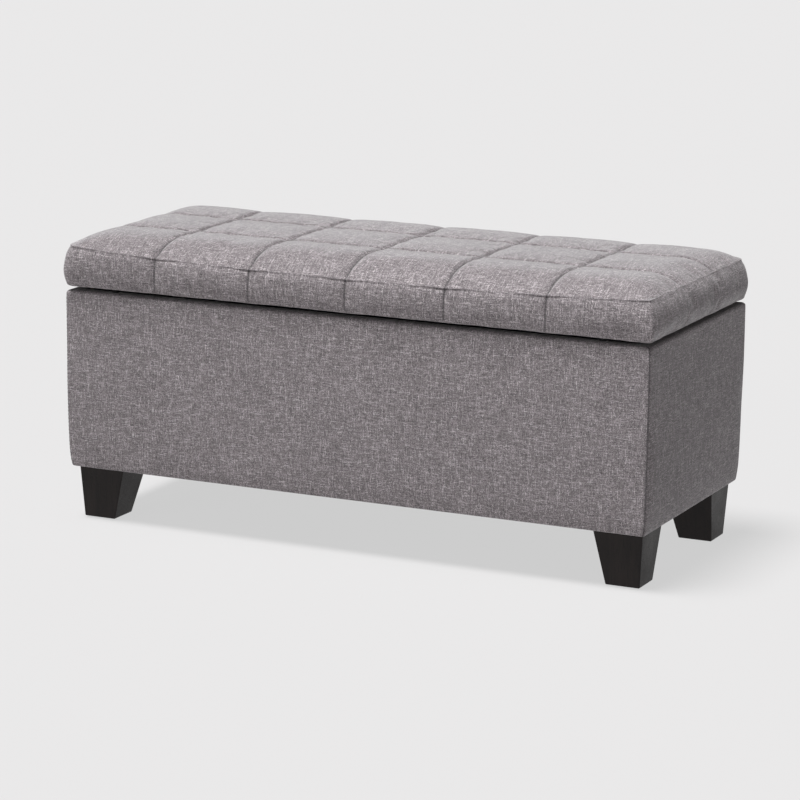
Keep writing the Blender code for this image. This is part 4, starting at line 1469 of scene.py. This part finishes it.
def oneScrew(bm, matrix):
    # a round head from a small grid, its middle cross sunk, with a tapering shank behind it
    made = bmesh.ops.create_grid(bm, x_segments=7, y_segments=7, size=1.0)["verts"]
    faces = list({f for v in made for f in v.link_faces})
    cross = []
    for f in faces:
        centre = f.calc_center_median()
        column, row = abs(centre.x), abs(centre.y)
        if min(column, row) < 0.1 and max(column, row) < 0.65:
            cross.append(f)
    for v in made:
        reach = max(abs(v.co.x), abs(v.co.y))
        if reach > 0:
            v.co *= reach / v.co.length
        v.co *= screw["head"]
        v.co.z = screw["dome"] * (1 - (v.co.length / screw["head"]) ** 2)
    sunk = bmesh.ops.extrude_face_region(bm, geom=cross)["geom"]
    lowered = [item for item in sunk if isinstance(item, bmesh.types.BMVert)]
    bmesh.ops.delete(bm, geom=cross, context="FACES_ONLY")
    for v in lowered:
        v.co = Vector((v.co.x * 0.8, v.co.y * 0.8, v.co.z - screw["slot"]))
    rim = [e for v in made if v.is_valid for e in v.link_edges if e.is_boundary]
    rim = list(set(rim))
    everything = list(made) + lowered
    for radius, height in screwRings:
        rim, ring = extrudedRim(bm, rim)
        for v in ring:
            flat = Vector((v.co.x, v.co.y, 0.0)).normalized() * radius
            v.co = Vector((flat.x, flat.y, height))
        everything += list(ring)
    bmesh.ops.edgeloop_fill(bm, edges=rim)
    bmesh.ops.transform(bm, matrix=matrix, verts=[v for v in everything if v.is_valid])


def screwAt(place, out, turn):
    frameOf = Vector(out).to_track_quat("Z", "Y").to_matrix().to_4x4()
    return Matrix.Translation(place) @ frameOf @ Matrix.Rotation(turn, 4, "Z")


def makeScrews(name, places, body):
    matrices = [screwAt(place, out, random.uniform(0, math.pi / 2)) for place, out in places]
    bm = repeated(matrices, oneScrew)
    bmesh.ops.recalc_face_normals(bm, faces=bm.faces[:])
    piece = newPiece(name, bm, zincSteel, smooth=False)
    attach(piece, body)


hingeHoles = ((-0.020, 0.0180), (0.0, 0.0125), (0.020, 0.0180))   # along the leaf, and in front of the pin


def hingeScrews():
    for side in ("left", "right"):
        pinLow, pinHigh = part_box("hinge_pin_" + side)
        axis = (pinLow + pinHigh) / 2
        for leaf, body, out in (("lower", "base", 1.0), ("upper", "lid", -1.0)):
            face = leafFace(f"hinge_{leaf}_leaf_{side}", axis, out)
            places = [
                (Vector((axis.x + along, axis.y - ahead, face - out * screw["seat"])), (0, 0, out))
                for along, ahead in hingeHoles
            ]
            makeScrews(f"{leaf}Screws{side.capitalize()}", places, body)


def leafFace(node, axis, out):
    # the height of a leaf's free face, well in front of its knuckles
    heights = [v.co.z for v in frame["nodes"][node].data.vertices if v.co.y < axis.y - 0.010]
    return max(heights) if out > 0 else min(heights)


strutPlate = {
    "wall": 0.0015,
    "footHoles": (-0.0135, 0.0135),      # up the plate
    "headHoles": (-0.018, 0.018),        # along the plate
    "headInset": 0.010,
}


def strutScrews():
    for side, sign in (("left", -1.0), ("right", 1.0)):
        low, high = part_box("strut_foot_bracket_" + side)
        plate = high.x if sign > 0 else low.x
        face = plate - sign * strutPlate["wall"] + sign * screw["seat"]
        middle = (low + high) / 2
        places = [
            (Vector((face, middle.y, middle.z + lift)), (-sign, 0, 0))
            for lift in strutPlate["footHoles"]
        ]
        makeScrews("footScrews" + side.capitalize(), places, "base")
        low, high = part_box("strut_head_bracket_" + side)
        inner = (low.x if sign > 0 else high.x) + sign * strutPlate["headInset"]
        middle = (low.y + high.y) / 2
        face = high.z - strutPlate["wall"] + screw["seat"]
        places = [
            (Vector((inner, middle + ahead, face)), (0, 0, -1))
            for ahead in strutPlate["headHoles"]
        ]
        makeScrews("headScrews" + side.capitalize(), places, "lid")


makeCamera()
makeStudio()
dressCad()
print("frame dressed")
lidCushion = makeLidCushion()
sewLid(lidCushion)
print("lid cushion made")
baseCover = makeBaseCover()
sewBase(baseCover)
for node, axis, side in (
    ("front_padding", 1, -1),
    ("rear_padding", 1, 1),
    ("left_padding", 0, -1),
    ("right_padding", 0, 1),
):
    makePadding(node, axis, side)
print("base cover made")
makeLinings()
print("linings made")
hingeScrews()
strutScrews()
print("fastenings made")
